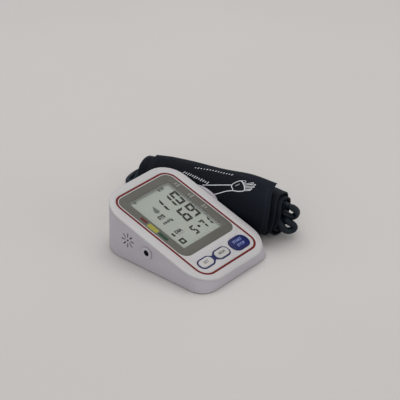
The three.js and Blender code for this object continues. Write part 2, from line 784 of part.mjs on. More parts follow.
const portBottom = underBoard - portHeight;
const portHalf = portWidth / 2;
const port = cut(
  box(portBackX, portX, portS - portHalf, portS + portHalf, portBottom, underBoard),
  box(portBackX + 1, portX + 1, portS - portHalf + 0.4, portS + portHalf - 0.4,
    portBottom + 0.4, underBoard - 0.4),
);
const portTongue = box(portBackX + 0.5, portX - 1, portS - 3, portS + 3, underBoard - 2.1, underBoard - 1.3);
add(panel, "usb_socket", join(port, portTongue), nickel, 0.3, 0.9);
[-1, 1].forEach((side, k) => {
  const screw = join(
    cylinder(2, side * boardScrewX, boardScrewS, underBoard - 1.3, underBoard, 14),
    cylinder(0.9, side * boardScrewX, boardScrewS, underBoard - 0.2, -panelThickness - 1.2, 10),
  );
  const cross = plate(2.4, 0.6, side * boardScrewX, boardScrewS, underBoard - 2, underBoard - 0.8);
  const bar = plate(0.6, 2.4, side * boardScrewX, boardScrewS, underBoard - 2, underBoard - 0.8);
  add(panel, "pcb_screw_" + (k + 1), cut(screw, cross, bar), nickel, 0.3, 0.9);
});

// Air circuit

const manifoldEdge = manifoldSide / 2;
const jackProfile = [
  [jackBoreRadius, -0.2 - jackFlangeThickness + jackMouth],
  [jackBoreRadius + jackMouth, -0.2 - jackFlangeThickness],
  [jackFlangeRadius, -0.2 - jackFlangeThickness],
  [jackFlangeRadius, -0.2],
  [jackBarrelRadius, -0.2],
  [jackBarrelRadius, jackBoreDepth],
  [nozzleRadius, jackBoreDepth],
  [nozzleRadius, jackBoreDepth + nozzleLength],
  [nozzleBore, jackBoreDepth + nozzleLength],
  [nozzleBore, jackBoreDepth - 1.2],
  [jackBoreRadius, jackBoreDepth - 1.2],
];
const toRight = V(1, 0, 0);
const toBack = V(0, 1, 0);
const toFront = V(0, -1, 0);
add(root, "air_jack", along(turned(jackProfile, 24), toRight, -caseWidth / 2, jackY, jackZ), 0x8c8a92, 0.45);

const motorFrontY = pumpFrontY + pumpHeadLength + fit;
const motorZ = pumpZ();
const pumpHead = join(
  box(pumpX - pumpHeadSide / 2, pumpX + pumpHeadSide / 2, pumpFrontY, pumpFrontY + pumpHeadLength,
    motorZ - pumpHeadSide / 2, motorZ + pumpHeadSide / 2),
  along(cylinder(nozzleRadius, 0, 0, -0.5, nozzleLength, 10), toFront, pumpX, pumpFrontY, airLineZ),
);
add(root, "air_pump", pumpHead, 0x26282c, 0.5);
const motor = cylinder(motorRadius, 0, 0, 0, motorLength, 24);
add(root, "pump_motor", along(motor, toBack, pumpX, motorFrontY, motorZ), nickel, 0.3, 0.9);
const sleeveProfile = [
  [motorRadius + fit, 0],
  [motorRadius + fit + sleeveThickness - 0.1, 0],
  [motorRadius + fit + sleeveThickness - 0.1, motorLength - 4],
  [motorRadius + fit, motorLength - 4],
];
add(root, "pump_sleeve",
  along(turned(sleeveProfile, 24), toBack, pumpX, motorFrontY + 1.5, motorZ), rubber, 0.9);
const valveY = valveBackY();
const valve = join(
  box(pumpX - valveWidth / 2, pumpX + valveWidth / 2, valveY - valveLength, valveY,
    floorTop + fit, floorTop + fit + valveHeight),
  along(cylinder(nozzleRadius, 0, 0, -0.5, nozzleLength, 10), toBack, pumpX, valveY, airLineZ),
);
add(root, "exhaust_valve", valve, 0x3b3d42, 0.5);
const nipple = cylinder(nozzleRadius, 0, 0, manifoldEdge - 0.5, manifoldEdge + nozzleLength, 10);
const manifold = join(
  new THREE.BoxGeometry(manifoldSide, manifoldSide, manifoldSide),
  ...[toBack, toFront, toRight, V(0, 0, 1)].map((to) => along(nipple.clone(), to, 0, 0, 0)),
);
add(root, "air_manifold", manifold.translate(pumpX, 0, airLineZ), 0xd0d0cc, 0.5);

const tubeBore = nozzleRadius + 0.35;
const tubeRadius = tubeBore + tubeWall;
const airTube = (points, steps) => tube(points.map((p) => V(...p)), tubeRadius, tubeBore, steps, 10);
add(root, "pump_tube",
  airTube([[pumpX, manifoldEdge + fit, airLineZ], [pumpX, pumpFrontY - fit, airLineZ]], 1), rubber, 0.7);
add(root, "valve_tube",
  airTube([[pumpX, valveY + fit, airLineZ], [pumpX, -manifoldEdge - fit, airLineZ]], 1), rubber, 0.7);
const jackInnerX = -caseWidth / 2 + jackBoreDepth;
add(root, "jack_tube", airTube([
  [jackInnerX + fit, jackY, jackZ],
  [jackInnerX + 2.6, jackY, jackZ],
  [pumpX - 1.3, jackY - 0.5, jackZ - 0.6],
  [pumpX - 0.2, jackY - 2.2, jackZ - 2.2],
  [pumpX, 0.4, airLineZ + 7],
  [pumpX, 0, airLineZ + manifoldEdge + nozzleLength],
  [pumpX, 0, airLineZ + manifoldEdge + fit],
], 12), rubber, 0.7);
const sensorPoint = V(sensorX - sensorSide / 2, sensorS, sensorNozzleN)
  .applyAxisAngle(V(1, 0, 0), panelTilt).add(V(0, 0, panelHeight));
const sensorEndX = pumpX + manifoldEdge + fit;
add(root, "sensor_tube", airTube([
  [sensorPoint.x - fit, sensorPoint.y, sensorPoint.z],
  [sensorPoint.x - 2.8, sensorPoint.y, sensorPoint.z],
  [sensorPoint.x - 5, sensorPoint.y - 0.3, sensorPoint.z - 1.6],
  [sensorPoint.x - 5.6, sensorPoint.y - 0.9, sensorPoint.z - 4.6],
  [sensorPoint.x - 6, sensorPoint.y * 0.2, airLineZ + 1.4],
  [sensorPoint.x - 7.4, 0, airLineZ],
  [sensorEndX, 0, airLineZ],
], 14), rubber, 0.7);

// Speaker

const speaker = join(
  cylinder(speakerRadius, 0, 0, 0, speakerThickness - 1, 24),
  cylinder(speakerRadius * 0.6, 0, 0, speakerThickness - 1.2, speakerThickness + 0.6, 24),
);
add(root, "speaker", along(speaker, toRight, -wallInnerX + 0.9, speakerY, speakerZ), 0x2a2b2e, 0.5);

// Batteries, contacts and cover

const contactFront = bayFrontY + fit;
const contactBack = bayBackY - fit;
const cellX = (k) => bayX + (k - (cellCount - 1) / 2) * cellPitch;
const springAtFront = (k) => k % 2 === 0;
count(cellCount).forEach((k) => {
  const start = contactFront + contactThickness + fit + (springAtFront(k) ? springLength : dimpleLength);
  const cell = turned([
    [0, 0], [cellRadius - 0.4, 0], [cellRadius, 0.4], [cellRadius, cellLength - 1.5],
    [cellRadius - 0.5, cellLength - 1], [1.9, cellLength - 1], [1.9, cellLength], [0, cellLength],
  ], 20);
  const placed = springAtFront(k)
    ? along(cell, toBack, cellX(k), start, cellZ)
    : along(cell, toFront, cellX(k), start + cellLength, cellZ);
  add(root, "battery_" + (k + 1), placed, 0x3a5a4a, 0.35, 0.3);
});

const contactHalf = 4.6;
// A contact plate across some cells, with a spring or a dimple in front of each.
function contact(cells, atFront) {
  const wallY = atFront ? contactFront : contactBack;
  const inward = atFront ? 1 : -1;
  const faceY = wallY + inward * contactThickness;
  const strip = box(
    cellX(cells[0]) - contactHalf, cellX(cells[cells.length - 1]) + contactHalf,
    min(wallY, faceY), max(wallY, faceY), cellZ - contactHalf, cellZ + contactHalf,
  );
  const tips = cells.map((k) => {
    const spring = springAtFront(k) === atFront;
    const profile = spring
      ? [[0, -0.2], [3.4, -0.2], [3.4, 0.4], [2, springLength], [0, springLength]]
      : [[0, -0.2], [1.8, -0.2], [1, dimpleLength], [0, dimpleLength]];
    return along(turned(profile, 16), V(0, inward, 0), cellX(k), faceY, cellZ);
  });
  return join(strip, ...tips);
}

const contacts = [[[0], true], [[1, 2], true], [[3], true], [[0, 1], false], [[2, 3], false]];
contacts.forEach(([cells, atFront], k) => {
  add(root, "battery_contact_" + (k + 1), contact(cells, atFront), nickel, 0.25, 0.95);
});

const cover = join(
  box(bayX - coverHalf, bayX + coverHalf, coverFrontY, coverBackY, footHeight, coverTop),
  box(bayX - coverHalf - coverTongue, bayX + coverHalf + coverTongue, coverFrontY, coverBackY - 6,
    coverTop - coverTongueThickness, coverTop),
);
const coverGrips = count(4).map((k) => {
  const y = coverBackY - 8 - 2.6 * k;
  return box(bayX - 8, bayX + 8, y - 0.6, y + 0.6, 0, footHeight + 0.5);
});
add(root, "battery_cover", cut(cover, ...coverGrips), shade, 0.5);

// Feet and case screws

const footNames = ["foot_front_left", "foot_front_right", "foot_back_left", "foot_back_right"];
footPlaces.forEach(([x, y], k) => {
  const profile = [[0, 0], [footRadius - 0.4, 0], [footRadius, 0.4]];
  profile.push([footRadius, footHeight + footRecess - fit], [0, footHeight + footRecess - fit]);
  add(root, footNames[k], turned(profile, 20).translate(x, y, 0), rubber, 0.95);
});
screwPlaces.forEach((p, k) => {
  const headBottom = p.seatZ - screwHeadHeight - fit;
  const screw = join(
    cylinder(screwHeadRadius, 0, 0, headBottom, p.seatZ - fit, 16),
    cylinder(screwShankRadius, 0, 0, p.seatZ - fit - 0.3, p.seatZ + screwLength, 12),
  );
  const cross = [[2.8, 0.7], [0.7, 2.8]].map(([w, l]) =>
    plate(w, l, 0, 0, headBottom - 1, headBottom + 0.9),
  );
  add(root, "case_screw_" + (k + 1), cut(screw, ...cross).translate(p.x, p.y, 0), nickel, 0.3, 0.9);
});

// Cuff roll

const cuffAlong = V(cos(cuffYaw), sin(cuffYaw), 0);
const cuffSide = V(sin(cuffYaw), -cos(cuffYaw), 0);
const near = (s) => min(max(1 - s / cuffWidth, 0), 1);
const padding = (s) => cuffPadFar + (cuffPadNear - cuffPadFar) * near(s);

// Value at a turn of a list of [turn, value] pairs.
function atTurn(list, turn) {
  const next = max(list.findIndex(([t], k) => k > 0 && turn <= t + 1e-9), 1);
  const [[t0, a], [t1, b]] = [list[next - 1], list[next]];
  return a + ((b - a) * (turn - t0)) / (t1 - t0);
}

function rollRadius(s, turn) {
  const [a, b] = [atTurn(rollNear, turn), atTurn(rollFar, turn)];
  const shoulder = shoulderSlope * max(s - shoulderStart, 0) * (1 - turn / cuffTurns);
  return b + (a - b) * near(s) + rollBulge * sin(PI * near(s)) - shoulder;
}
const bottomTurn = (1.5 * PI - flapAngle) / (2 * PI);
const axisZ = (s) => rollRadius(s, bottomTurn) - rollFlat;
const sag = (s, turn) => atTurn(rollSag, turn) * near(s);

// A point of the cuff's own frame: s along the roll, p to its right-hand side, z above the table.
function cuffPoint(s, p, z) {
  return V(cuffEndX, cuffEndY, z).addScaledVector(cuffAlong, s).addScaledVector(cuffSide, p);
}

// The cloth's edge at the right-hand end, whose turns slant out on the side of the monitor.
function nearEdge(turn) {
  const bell = (x) => (x > -1 && x < 1 ? cos((PI * x) / 2) ** 2 : 0);
  const part = turn % 1;
  const slant = slantIn * bell((part - 0.74) / 0.25) - slantOut * bell((part - 0.21) / 0.21);
  return atTurn(insetNear, turn) + slant;
}

function cuffRoll() {
  const stations = 7;
  const steps = Math.round(cuffTurns * cuffStepsPerTurn);
  const rings = count(steps + 1).map((k) => {
    const turn = (cuffTurns * k) / steps;
    const angle = flapAngle + 2 * PI * turn;
    const start = nearEdge(turn);
    const end = cuffWidth - atTurn(insetFar, turn);
    const lift = max(0, 1 - turn / 0.1) ** 2;
    const side = (depth) => count(stations).map((j) => {
      const t = j / (stations - 1);
      const s = start + (end - start) * t;
      const raised = lift * flapLift * (1 + 1.5 * (1 - t) ** 6);
      const radius = rollRadius(s, turn) - depth * padding(s) + raised;
      const z = axisZ(s) - sag(s, turn) + radius * sin(angle);
      return cuffPoint(s, radius * cos(angle), max(z, 0));
    });
    return [...side(0), ...side(1).reverse()];
  });
  return loft(rings);
}
add(root, "cuff_roll", cuffRoll(), cloth, 0.9);

// Air hose. It leaves the cuff at the right-hand end of the innermost turn, runs through the bore
// to a wide loop at the far end, comes back through the bore, loops once more and ends in the plug.

const glandStart = [-0.8, 2.9, 33.6];
const glandEnd = [-0.8 - glandLength, 3.5, 33.2];
const inBore = (s, p, rise) => [s, p, axisZ(s) - sag(s, cuffTurns) + rise];
const hosePath = [
  [-6.2, 3.54, 33.17],
  [-7.4, 3.68, 33.06],
  [-9.3, 5, 32.2],
  [-10.9, 7.4, 30],
  [-11.3, 9.8, 27],
  [-10.6, 11.2, 23.4],
  [-8.7, 11.5, 19.6],
  [-6, 9.4, 17.9],
  [-3.6, 6.9, 19.5],
  [-1.4, 4.8, 22.3],
  [2, 3.8, 24.9],
  inBore(6, 3.8, 2.8),
  inBore(40, 3.8, 2.4),
  inBore(110, 3.2, 0.4),
  inBore(150, 2.6, -1.8),
  inBore(162.4, 2.9, -1.5),
  [168.4, 2.5, 11],
  [173.6, -0.8, 8.4],
  [176.3, -5.6, 5.6],
  [176.7, -10.6, 4.2],
  [175.2, -14.8, 3.3],
  [171.9, -16.6, 3.2],
  [168.9, -14.6, 3.9],
  [168.3, -10.6, 6.2],
  [168.7, -7, 9],
  [166.9, -4.3, 11.7],
  inBore(159.6, -2.9, 0.6),
  inBore(150, -3, 1.4),
  inBore(110, -3, -0.8),
  inBore(50, -0.4, -3.9),
  inBore(12, 1.6, -4.6),
  [5, 1, 17],
  [-0.5, 0.5, 16.9],
  [-4.2, 0.8, 17.6],
  [-7.6, 2.2, 17.6],
  [-10.4, 4.8, 14.8],
  [-12, 7, 11.2],
  [-11.6, 6.2, 8.2],
  [-9, 2.6, 6.9],
  [-6.6, -1.4, 8.4],
  [-5.4, -4.8, 11.8],
  [-3.8, -6.4, 15.5],
  [-0.8, -6.3, 18.9],
  [3, -5.3, 21.6],
  inBore(7.4, -4.68, 0.4),
  inBore(9, -4.7, 0.4),
];
const plugStart = inBore(9.5, -4.7, 0.4);
const plugEnd = inBore(9.4 + plugLength, -4.3, 0.3);

function hoseCurve() {
  return new THREE.CatmullRomCurve3(hosePath.map((p) => cuffPoint(...p)), false, "centripetal");
}

// Points along the hose, close together where it bends.
function hosePoints() {
  const curve = hoseCurve();
  const last = hosePath.length - 1;
  const points = [curve.getPoint(0)];
  count(last).forEach((k) => {
    const [a, b] = [curve.getPoint(k / last), curve.getPoint((k + 1) / last)];
    const turn = curve.getTangent(k / last).angleTo(curve.getTangent((k + 1) / last));
    const pieces = max(1, Math.round(turn / 0.33), Math.round(a.distanceTo(b) / 36));
    count(pieces).forEach((j) => points.push(curve.getPoint((k + (j + 1) / pieces) / last)));
  });
  return points;
}

function roundBar(points, radius, sides = 8) {
  const tangents = points.map((p, k) =>
    V(0, 0, 0).subVectors(points[min(k + 1, points.length - 1)], points[max(k - 1, 0)]).normalize(),
  );
  let across = V(0, 0, 1).cross(tangents[0]).normalize();
  const rings = points.map((p, k) => {
    const turn = new THREE.Quaternion().setFromUnitVectors(tangents[max(k - 1, 0)], tangents[k]);
    across = across.applyQuaternion(turn).normalize();
    const up = V(0, 0, 0).crossVectors(tangents[k], across);
    return count(sides).map((j) => {
      const angle = (2 * PI * j) / sides;
      return p.clone()
        .addScaledVector(across, radius * cos(angle))
        .addScaledVector(up, radius * sin(angle));
    });
  });
  return loft(rings);
}

function taperedBar(from, to, profile, sides = 16) {
  const [a, b] = [cuffPoint(...from), cuffPoint(...to)];
  const piece = turned(profile(a.distanceTo(b)), sides);
  return along(piece, b.clone().sub(a), a.x, a.y, a.z);
}

add(root, "hose_gland", taperedBar(glandStart, glandEnd, (l) => [
  [0, 0], [glandRadius, 0], [glandRadius, 0.8], [glandRadius - 0.6, 1.2],
  [hoseDiameter / 2 + 0.2, l], [0, l],
]), hoseColor, 0.6);
add(root, "air_hose", roundBar(hosePoints(), hoseDiameter / 2), hoseColor, 0.55);
add(root, "air_plug", taperedBar(plugStart, plugEnd, (l) => [
  [0, 0], [plugRadius - 0.9, 0], [plugRadius, 2], [plugRadius, l - 12],
  [jackBoreRadius - 0.25, l - 11.4], [jackBoreRadius - 0.25, l - 1], [jackBoreRadius - 1, l], [0, l],
]), 0x2a2d31, 0.5);

// The least gap between passes of the hose, measured on its centre line.
const trail = hoseCurve().getSpacedPoints(700);
const stepLength = hoseCurve().getLength() / 700;
const apart = Math.ceil((2.2 * hoseDiameter) / stepLength);
let least = Infinity;
trail.forEach((a, i) => trail.forEach((b, j) => {
  if (j - i > apart) least = min(least, a.distanceTo(b) - hoseDiameter);
}));
console.log("hose length", hoseCurve().getLength().toFixed(0), "least gap between passes", least.toFixed(2));

// The origin is the middle of the table face of all that isn't the hose.

const cordNames = ["air_hose", "air_plug", "hose_gland"];
root.updateMatrixWorld(true);
const bounds = new THREE.Box3();
root.traverse((o) => {
  if (o.isMesh && !cordNames.includes(o.name)) bounds.expandByObject(o, true);
});
const shift = V(-(bounds.min.x + bounds.max.x) / 2, -(bounds.min.y + bounds.max.y) / 2, -bounds.min.z);
root.position.copy(shift);
root.updateMatrixWorld(true);
console.log("shift", shift.toArray().map((v) => v.toFixed(4)).join(" "));

export default root;
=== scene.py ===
"""Looks of an upper-arm blood pressure monitor with its rolled cuff and stowed air hose."""

import json
import math

import bmesh
import bpy
import numpy as np
from mathutils import Matrix, Vector


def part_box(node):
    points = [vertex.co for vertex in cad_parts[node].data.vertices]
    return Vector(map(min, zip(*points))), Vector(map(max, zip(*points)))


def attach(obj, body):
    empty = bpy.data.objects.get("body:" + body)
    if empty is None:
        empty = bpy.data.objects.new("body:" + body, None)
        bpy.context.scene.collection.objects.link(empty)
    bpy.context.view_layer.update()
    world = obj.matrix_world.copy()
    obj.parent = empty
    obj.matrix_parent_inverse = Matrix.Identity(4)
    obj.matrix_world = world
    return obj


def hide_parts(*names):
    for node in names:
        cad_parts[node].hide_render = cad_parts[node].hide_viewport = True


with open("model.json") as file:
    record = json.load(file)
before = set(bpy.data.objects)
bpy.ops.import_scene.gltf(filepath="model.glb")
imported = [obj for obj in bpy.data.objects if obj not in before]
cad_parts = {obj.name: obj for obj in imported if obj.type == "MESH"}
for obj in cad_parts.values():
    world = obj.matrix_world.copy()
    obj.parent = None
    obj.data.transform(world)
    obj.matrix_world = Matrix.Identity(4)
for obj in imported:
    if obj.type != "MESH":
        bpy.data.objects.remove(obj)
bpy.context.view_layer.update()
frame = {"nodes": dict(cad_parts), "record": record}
nodes = frame["nodes"]

# Places, in millimetres from the middle of the monitor, as metres in the row's frame

FOOT_X, FOOT_Y = -36.0, -50.0
TILT = math.radians(16.5)
PANEL_HEIGHT = 31.0


def middle_of(name):
    return sum(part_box(name), Vector()) / 2


foot = middle_of("foot_front_left")
SHIFT = np.array([foot.x - FOOT_X / 1000, foot.y - FOOT_Y / 1000, 0.0])


def at(x, y, z):
    return np.array([x, y, z], float) / 1000 + SHIFT


def on_panel(x, s, n):
    """A point of the sloped face: x to the right, s up the slope and n out of the face."""
    y = s * math.cos(TILT) - n * math.sin(TILT)
    return at(x, y, PANEL_HEIGHT + s * math.sin(TILT) + n * math.cos(TILT))


# Camera

AZIMUTH, ELEVATION, ROLL = map(math.radians, (-50.37, 30.60, 1.32))
DISTANCE = 1.558
TARGET = (20, 0, 46.3)
FOCAL_PIXELS, FRAME_PIXELS = 1669, 400
SENSOR_WIDTH = 36


def add_camera():
    back = Vector((
        math.sin(AZIMUTH) * math.cos(ELEVATION),
        -math.cos(AZIMUTH) * math.cos(ELEVATION),
        math.sin(ELEVATION),
    ))
    right = (-back).cross(Vector((0, 0, 1))).normalized()
    up = right.cross(-back)
    axis_x = right * math.cos(ROLL) + up * math.sin(ROLL)
    axis_y = -right * math.sin(ROLL) + up * math.cos(ROLL)
    data = bpy.data.cameras.new("camera")
    data.sensor_width = SENSOR_WIDTH
    data.lens = FOCAL_PIXELS * SENSOR_WIDTH / FRAME_PIXELS
    data.clip_start, data.clip_end = 0.1, 20
    camera = bpy.data.objects.new("camera", data)
    bpy.context.scene.collection.objects.link(camera)
    rotation = Matrix((axis_x, axis_y, back)).transposed().to_4x4()
    camera.matrix_world = Matrix.Translation(Vector(at(*TARGET)) + back * DISTANCE) @ rotation
    bpy.context.scene.camera = camera


add_camera()

# Materials


class Nodes:
    """A material's node tree, with short calls to add to it."""

    def __init__(self, name):
        self.material = bpy.data.materials.new(name)
        self.material.use_nodes = True
        self.tree = self.material.node_tree
        self.shader = self.tree.nodes["Principled BSDF"]
        self.coordinates = self.tree.nodes.new("ShaderNodeTexCoord")

    def add(self, kind, inputs=None, **settings):
        node = self.tree.nodes.new("ShaderNode" + kind)
        for key, value in settings.items():
            setattr(node, key, value)
        for key, value in (inputs or {}).items():
            self.set(node.inputs[key], value)
        return node

    def set(self, socket, value):
        if isinstance(value, bpy.types.NodeSocket):
            self.tree.links.new(value, socket)
        else:
            socket.default_value = value

    def fixed(self, **inputs):
        """Sets values of the shader that are the same all over the surface."""
        for key, value in inputs.items():
            self.shader.inputs[key.replace("_", " ")].default_value = value

    def noise(self, scale, detail=2.0, rough=0.5, where=None):
        place = where or self.coordinates.outputs["Object"]
        inputs = {"Vector": place, "Scale": scale, "Detail": detail, "Roughness": rough}
        return self.add("TexNoise", inputs).outputs["Fac"]

    def mix(self, factor, a, b):
        node = self.add("Mix", data_type="RGBA")
        self.set(node.inputs["Factor"], factor)
        self.set(node.inputs["A"], a)
        self.set(node.inputs["B"], b)
        return node.outputs["Result"]

    def math(self, operation, a, b=0.0):
        return self.add("Math", {0: a, 1: b}, operation=operation).outputs[0]

    def vector(self, operation, a, b=None):
        inputs = {0: a} if b is None else {0: a, 1: b}
        return self.add("VectorMath", inputs, operation=operation).outputs

    def ranged(self, value, low, high, to_low=0.0, to_high=1.0):
        inputs = {"Value": value, "From Min": low, "From Max": high, "To Min": to_low, "To Max": to_high}
        return self.add("MapRange", inputs).outputs["Result"]

    def bump(self, height, distance, strength=1.0, normal=None):
        node = self.add("Bump", {"Height": height, "Distance": distance, "Strength": strength})
        if normal is not None:
            self.set(node.inputs["Normal"], normal)
        return node.outputs["Normal"]

    def finish(self, **inputs):
        for key, value in inputs.items():
            self.set(self.shader.inputs[key.replace("_", " ")], value)
        return self.material


def rgba(color):
    return (*color, 1.0)


def shaded(color, factor):
    return rgba([min(c * factor, 1) for c in color])


def window_walls_painted_light(n):
    """Mask of what lies below the face of the panel: the walls of the display window, painted in the
    display's tone as painted light over their shade.
    """
    normal = (0, -math.sin(TILT), math.cos(TILT))
    face = float(np.dot(on_panel(0, 0, 0), normal))
    height = n.vector("DOT_PRODUCT", n.coordinates.outputs["Object"], normal)["Value"]
    return n.ranged(height, face - 0.0002, face, 1, 0)


def in_hole(x, middle, reach):
    """Mask of what lies past x and within reach of a line along X through a middle: the inside of a hole,
    painted dark as painted shade.
    """
    def mask(n):
        start = (at(x, 0, 0)[0], middle.y, middle.z)
        place = n.vector("SUBTRACT", n.coordinates.outputs["Object"], start)["Vector"]
        across = n.vector("MULTIPLY", place, (0, 1, 1))["Vector"]
        distance = n.vector("LENGTH", across)["Value"]
        depth = n.add("SeparateXYZ", {"Vector": place}).outputs["X"]
        within = n.ranged(distance, reach, reach + 0.0001, 1, 0)
        return n.math("MULTIPLY", n.ranged(depth, 0, 0.0003), within)
    return mask


def moulded(name, color, rough, scale=2600, gloss=None, tint=0.05, shine=0.4, painted_patch=None):
    """Moulded plastic: a fine grained skin, slightly uneven in tone and gloss. A painted patch gives
    another colour and the mask for it, for painted shade in holes and painted light on walls."""
    n = Nodes(name)
    tone = n.ranged(n.noise(22, 3), 0.35, 0.65)
    skin_color = n.mix(tone, shaded(color, 1 - tint), shaded(color, 1 + tint / 2))
    if painted_patch:
        painted_color, mask = painted_patch
        skin_color = n.mix(mask(n), skin_color, rgba(painted_color))
    n.fixed(Specular_IOR_Level=shine)
    if gloss:
        n.fixed(Coat_Weight=gloss, Coat_Roughness=0.12)
    return n.finish(
        Base_Color=skin_color,
        Roughness=n.ranged(n.noise(60, 3), 0.3, 0.7, rough - 0.04, rough + 0.05),
        Normal=n.bump(n.noise(scale, 2), 0.00006, 0.35),
    )


def metal(name, color, rough):
    n = Nodes(name)
    stretched = n.add("Mapping", {"Vector": n.coordinates.outputs["Object"], "Scale": (300, 6000, 300)})
    lines = n.noise(1, 3, where=stretched.outputs[0])
    return n.finish(
        Base_Color=n.mix(n.ranged(n.noise(90, 2), 0.3, 0.7), shaded(color, 0.85), shaded(color, 1.1)),
        Metallic=1.0,
        Roughness=n.ranged(lines, 0.3, 0.7, rough - 0.06, rough + 0.1),
        Normal=n.bump(lines, 0.00002, 0.3),
    )


def rubbery(name, color, rough, coat=0.0, scale=900):
    n = Nodes(name)
    n.fixed(Coat_Weight=coat, Coat_Roughness=0.25, Specular_IOR_Level=0.25)
    return n.finish(
        Base_Color=n.mix(n.ranged(n.noise(45, 3), 0.35, 0.65), shaded(color, 0.8), shaded(color, 1.25)),
        Roughness=n.ranged(n.noise(200, 2), 0.3, 0.7, rough - 0.05, rough + 0.08),
        Normal=n.bump(n.noise(scale, 2), 0.00008, 0.4),
    )


def clear(name):
    n = Nodes(name)
    n.fixed(Specular_IOR_Level=0.25)
    smudge = n.ranged(n.noise(35, 3), 0.4, 0.75, 0.1, 0.16)
    return n.finish(Base_Color=rgba((0.5, 0.52, 0.5)), Roughness=smudge, Alpha=0.05)


def liquid_crystal(name, color):
    """The display's polariser: a grey green field, slightly uneven."""
    n = Nodes(name)
    n.fixed(Specular_IOR_Level=0.2)
    return n.finish(
        Base_Color=n.mix(n.ranged(n.noise(14, 2), 0.35, 0.65), shaded(color, 0.96), shaded(color, 1.03)),
        Roughness=n.ranged(n.noise(300, 2), 0.3, 0.7, 0.3, 0.42),
        Normal=n.bump(n.noise(5000, 1), 0.00001, 0.2),
    )


def board(name, color):
    """Lacquered circuit board with paler tracks under the lacquer."""
    n = Nodes(name)
    cells = n.add("TexBrick", {
        "Vector": n.coordinates.outputs["Object"],
        "Color1": rgba((0, 0, 0)), "Color2": rgba((0, 0, 0)), "Mortar": rgba((1, 1, 1)),
        "Scale": 90, "Mortar Size": 0.05,
    })
    return n.finish(
        Base_Color=n.mix(cells.outputs["Color"], shaded(color, 1), shaded(color, 1.8)),
        Roughness=n.ranged(n.noise(80, 2), 0.3, 0.7, 0.28, 0.4),
        Normal=n.bump(cells.outputs["Color"], 0.00004, 0.5),
    )


def ink(name, color, rough=0.6, shine=0.15):
    """Printed or applied colour, a little uneven in cover."""
    n = Nodes(name)
    n.fixed(Specular_IOR_Level=shine)
    return n.finish(
        Base_Color=n.mix(n.ranged(n.noise(500, 3), 0.3, 0.7), shaded(color, 0.88), shaded(color, 1.05)),
        Roughness=n.ranged(n.noise(900, 2), 0.3, 0.7, rough - 0.06, rough + 0.06),
        Normal=n.bump(n.noise(3000, 1), 0.00002, 0.3),
    )


THREAD_PITCH = 0.00055
# Paler tone of the bound tape, also used as painted light on the top of the flap's near end
TAPE_TONE_AND_PAINTED_LIGHT = (0.0085, 0.0135, 0.020)


def woven(name, color):
    """Woven nylon over the cuff's bladder. UV holds metres along the roll and round it; the edge
    attribute is 1 on the bound edges, which are ribbed tape. The top of the flap's near end is painted
    paler, as painted light."""
    n = Nodes(name)
    uv = n.add("SeparateXYZ", {"Vector": n.coordinates.outputs["UV"]})
    across, around = uv.outputs["X"], uv.outputs["Y"]
    turns = 2 * math.pi / THREAD_PITCH
    warp = n.math("SINE", n.math("MULTIPLY", across, turns))
    weft = n.math("SINE", n.math("MULTIPLY", around, turns))
    threads = n.ranged(n.math("MULTIPLY", warp, weft), -1, 1)
    rib = n.ranged(n.math("SINE", n.math("MULTIPLY", around, turns / 3)), -1, 1)
    edge = n.add("Attribute", attribute_name="edge").outputs["Fac"]
    surface = n.add("Mix", {"Factor": edge, "A": threads, "B": rib}).outputs["Result"]
    patches = n.ranged(n.noise(38, 4, 0.6), 0.35, 0.68)
    body = n.mix(patches, shaded(color, 0.75), shaded(color, 1.35))
    # Painted light: the top of the flap's near end is painted paler, as if lit from above
    painted_top_light = n.math("MULTIPLY", n.ranged(across, 0.012, 0.050, 1, 0), n.ranged(around, 0.018, 0.034, 1, 0))
    body = n.mix(painted_top_light, body, rgba(TAPE_TONE_AND_PAINTED_LIGHT))
    taped = n.mix(n.math("MULTIPLY", edge, 0.6), body, rgba(TAPE_TONE_AND_PAINTED_LIGHT))
    # Painted highlight: the raised threads and tape ribs are painted lighter, as lit tops
    lit = n.mix(n.ranged(surface, 0.2, 1.0, 0.0, 0.5), taped, shaded(color, 2.0))
    folds = n.bump(n.noise(75, 3, 0.55), 0.0011, 0.5)
    n.fixed(Sheen_Weight=0.035, Sheen_Roughness=0.42, Sheen_Tint=rgba((0.45, 0.62, 0.72)))
    n.fixed(Specular_IOR_Level=0.1)
    return n.finish(
        Base_Color=lit,
        Roughness=n.ranged(patches, 0, 1, 0.6, 0.75),
        Normal=n.bump(surface, 0.00012, 0.7, folds),
    )


WHITE = (0.56, 0.545, 0.55)
LAVENDER = (0.515, 0.485, 0.535)
# Painted shade, put inside holes
SHADE = (0.015, 0.015, 0.018)
DISPLAY_TONE = (0.425, 0.465, 0.41)
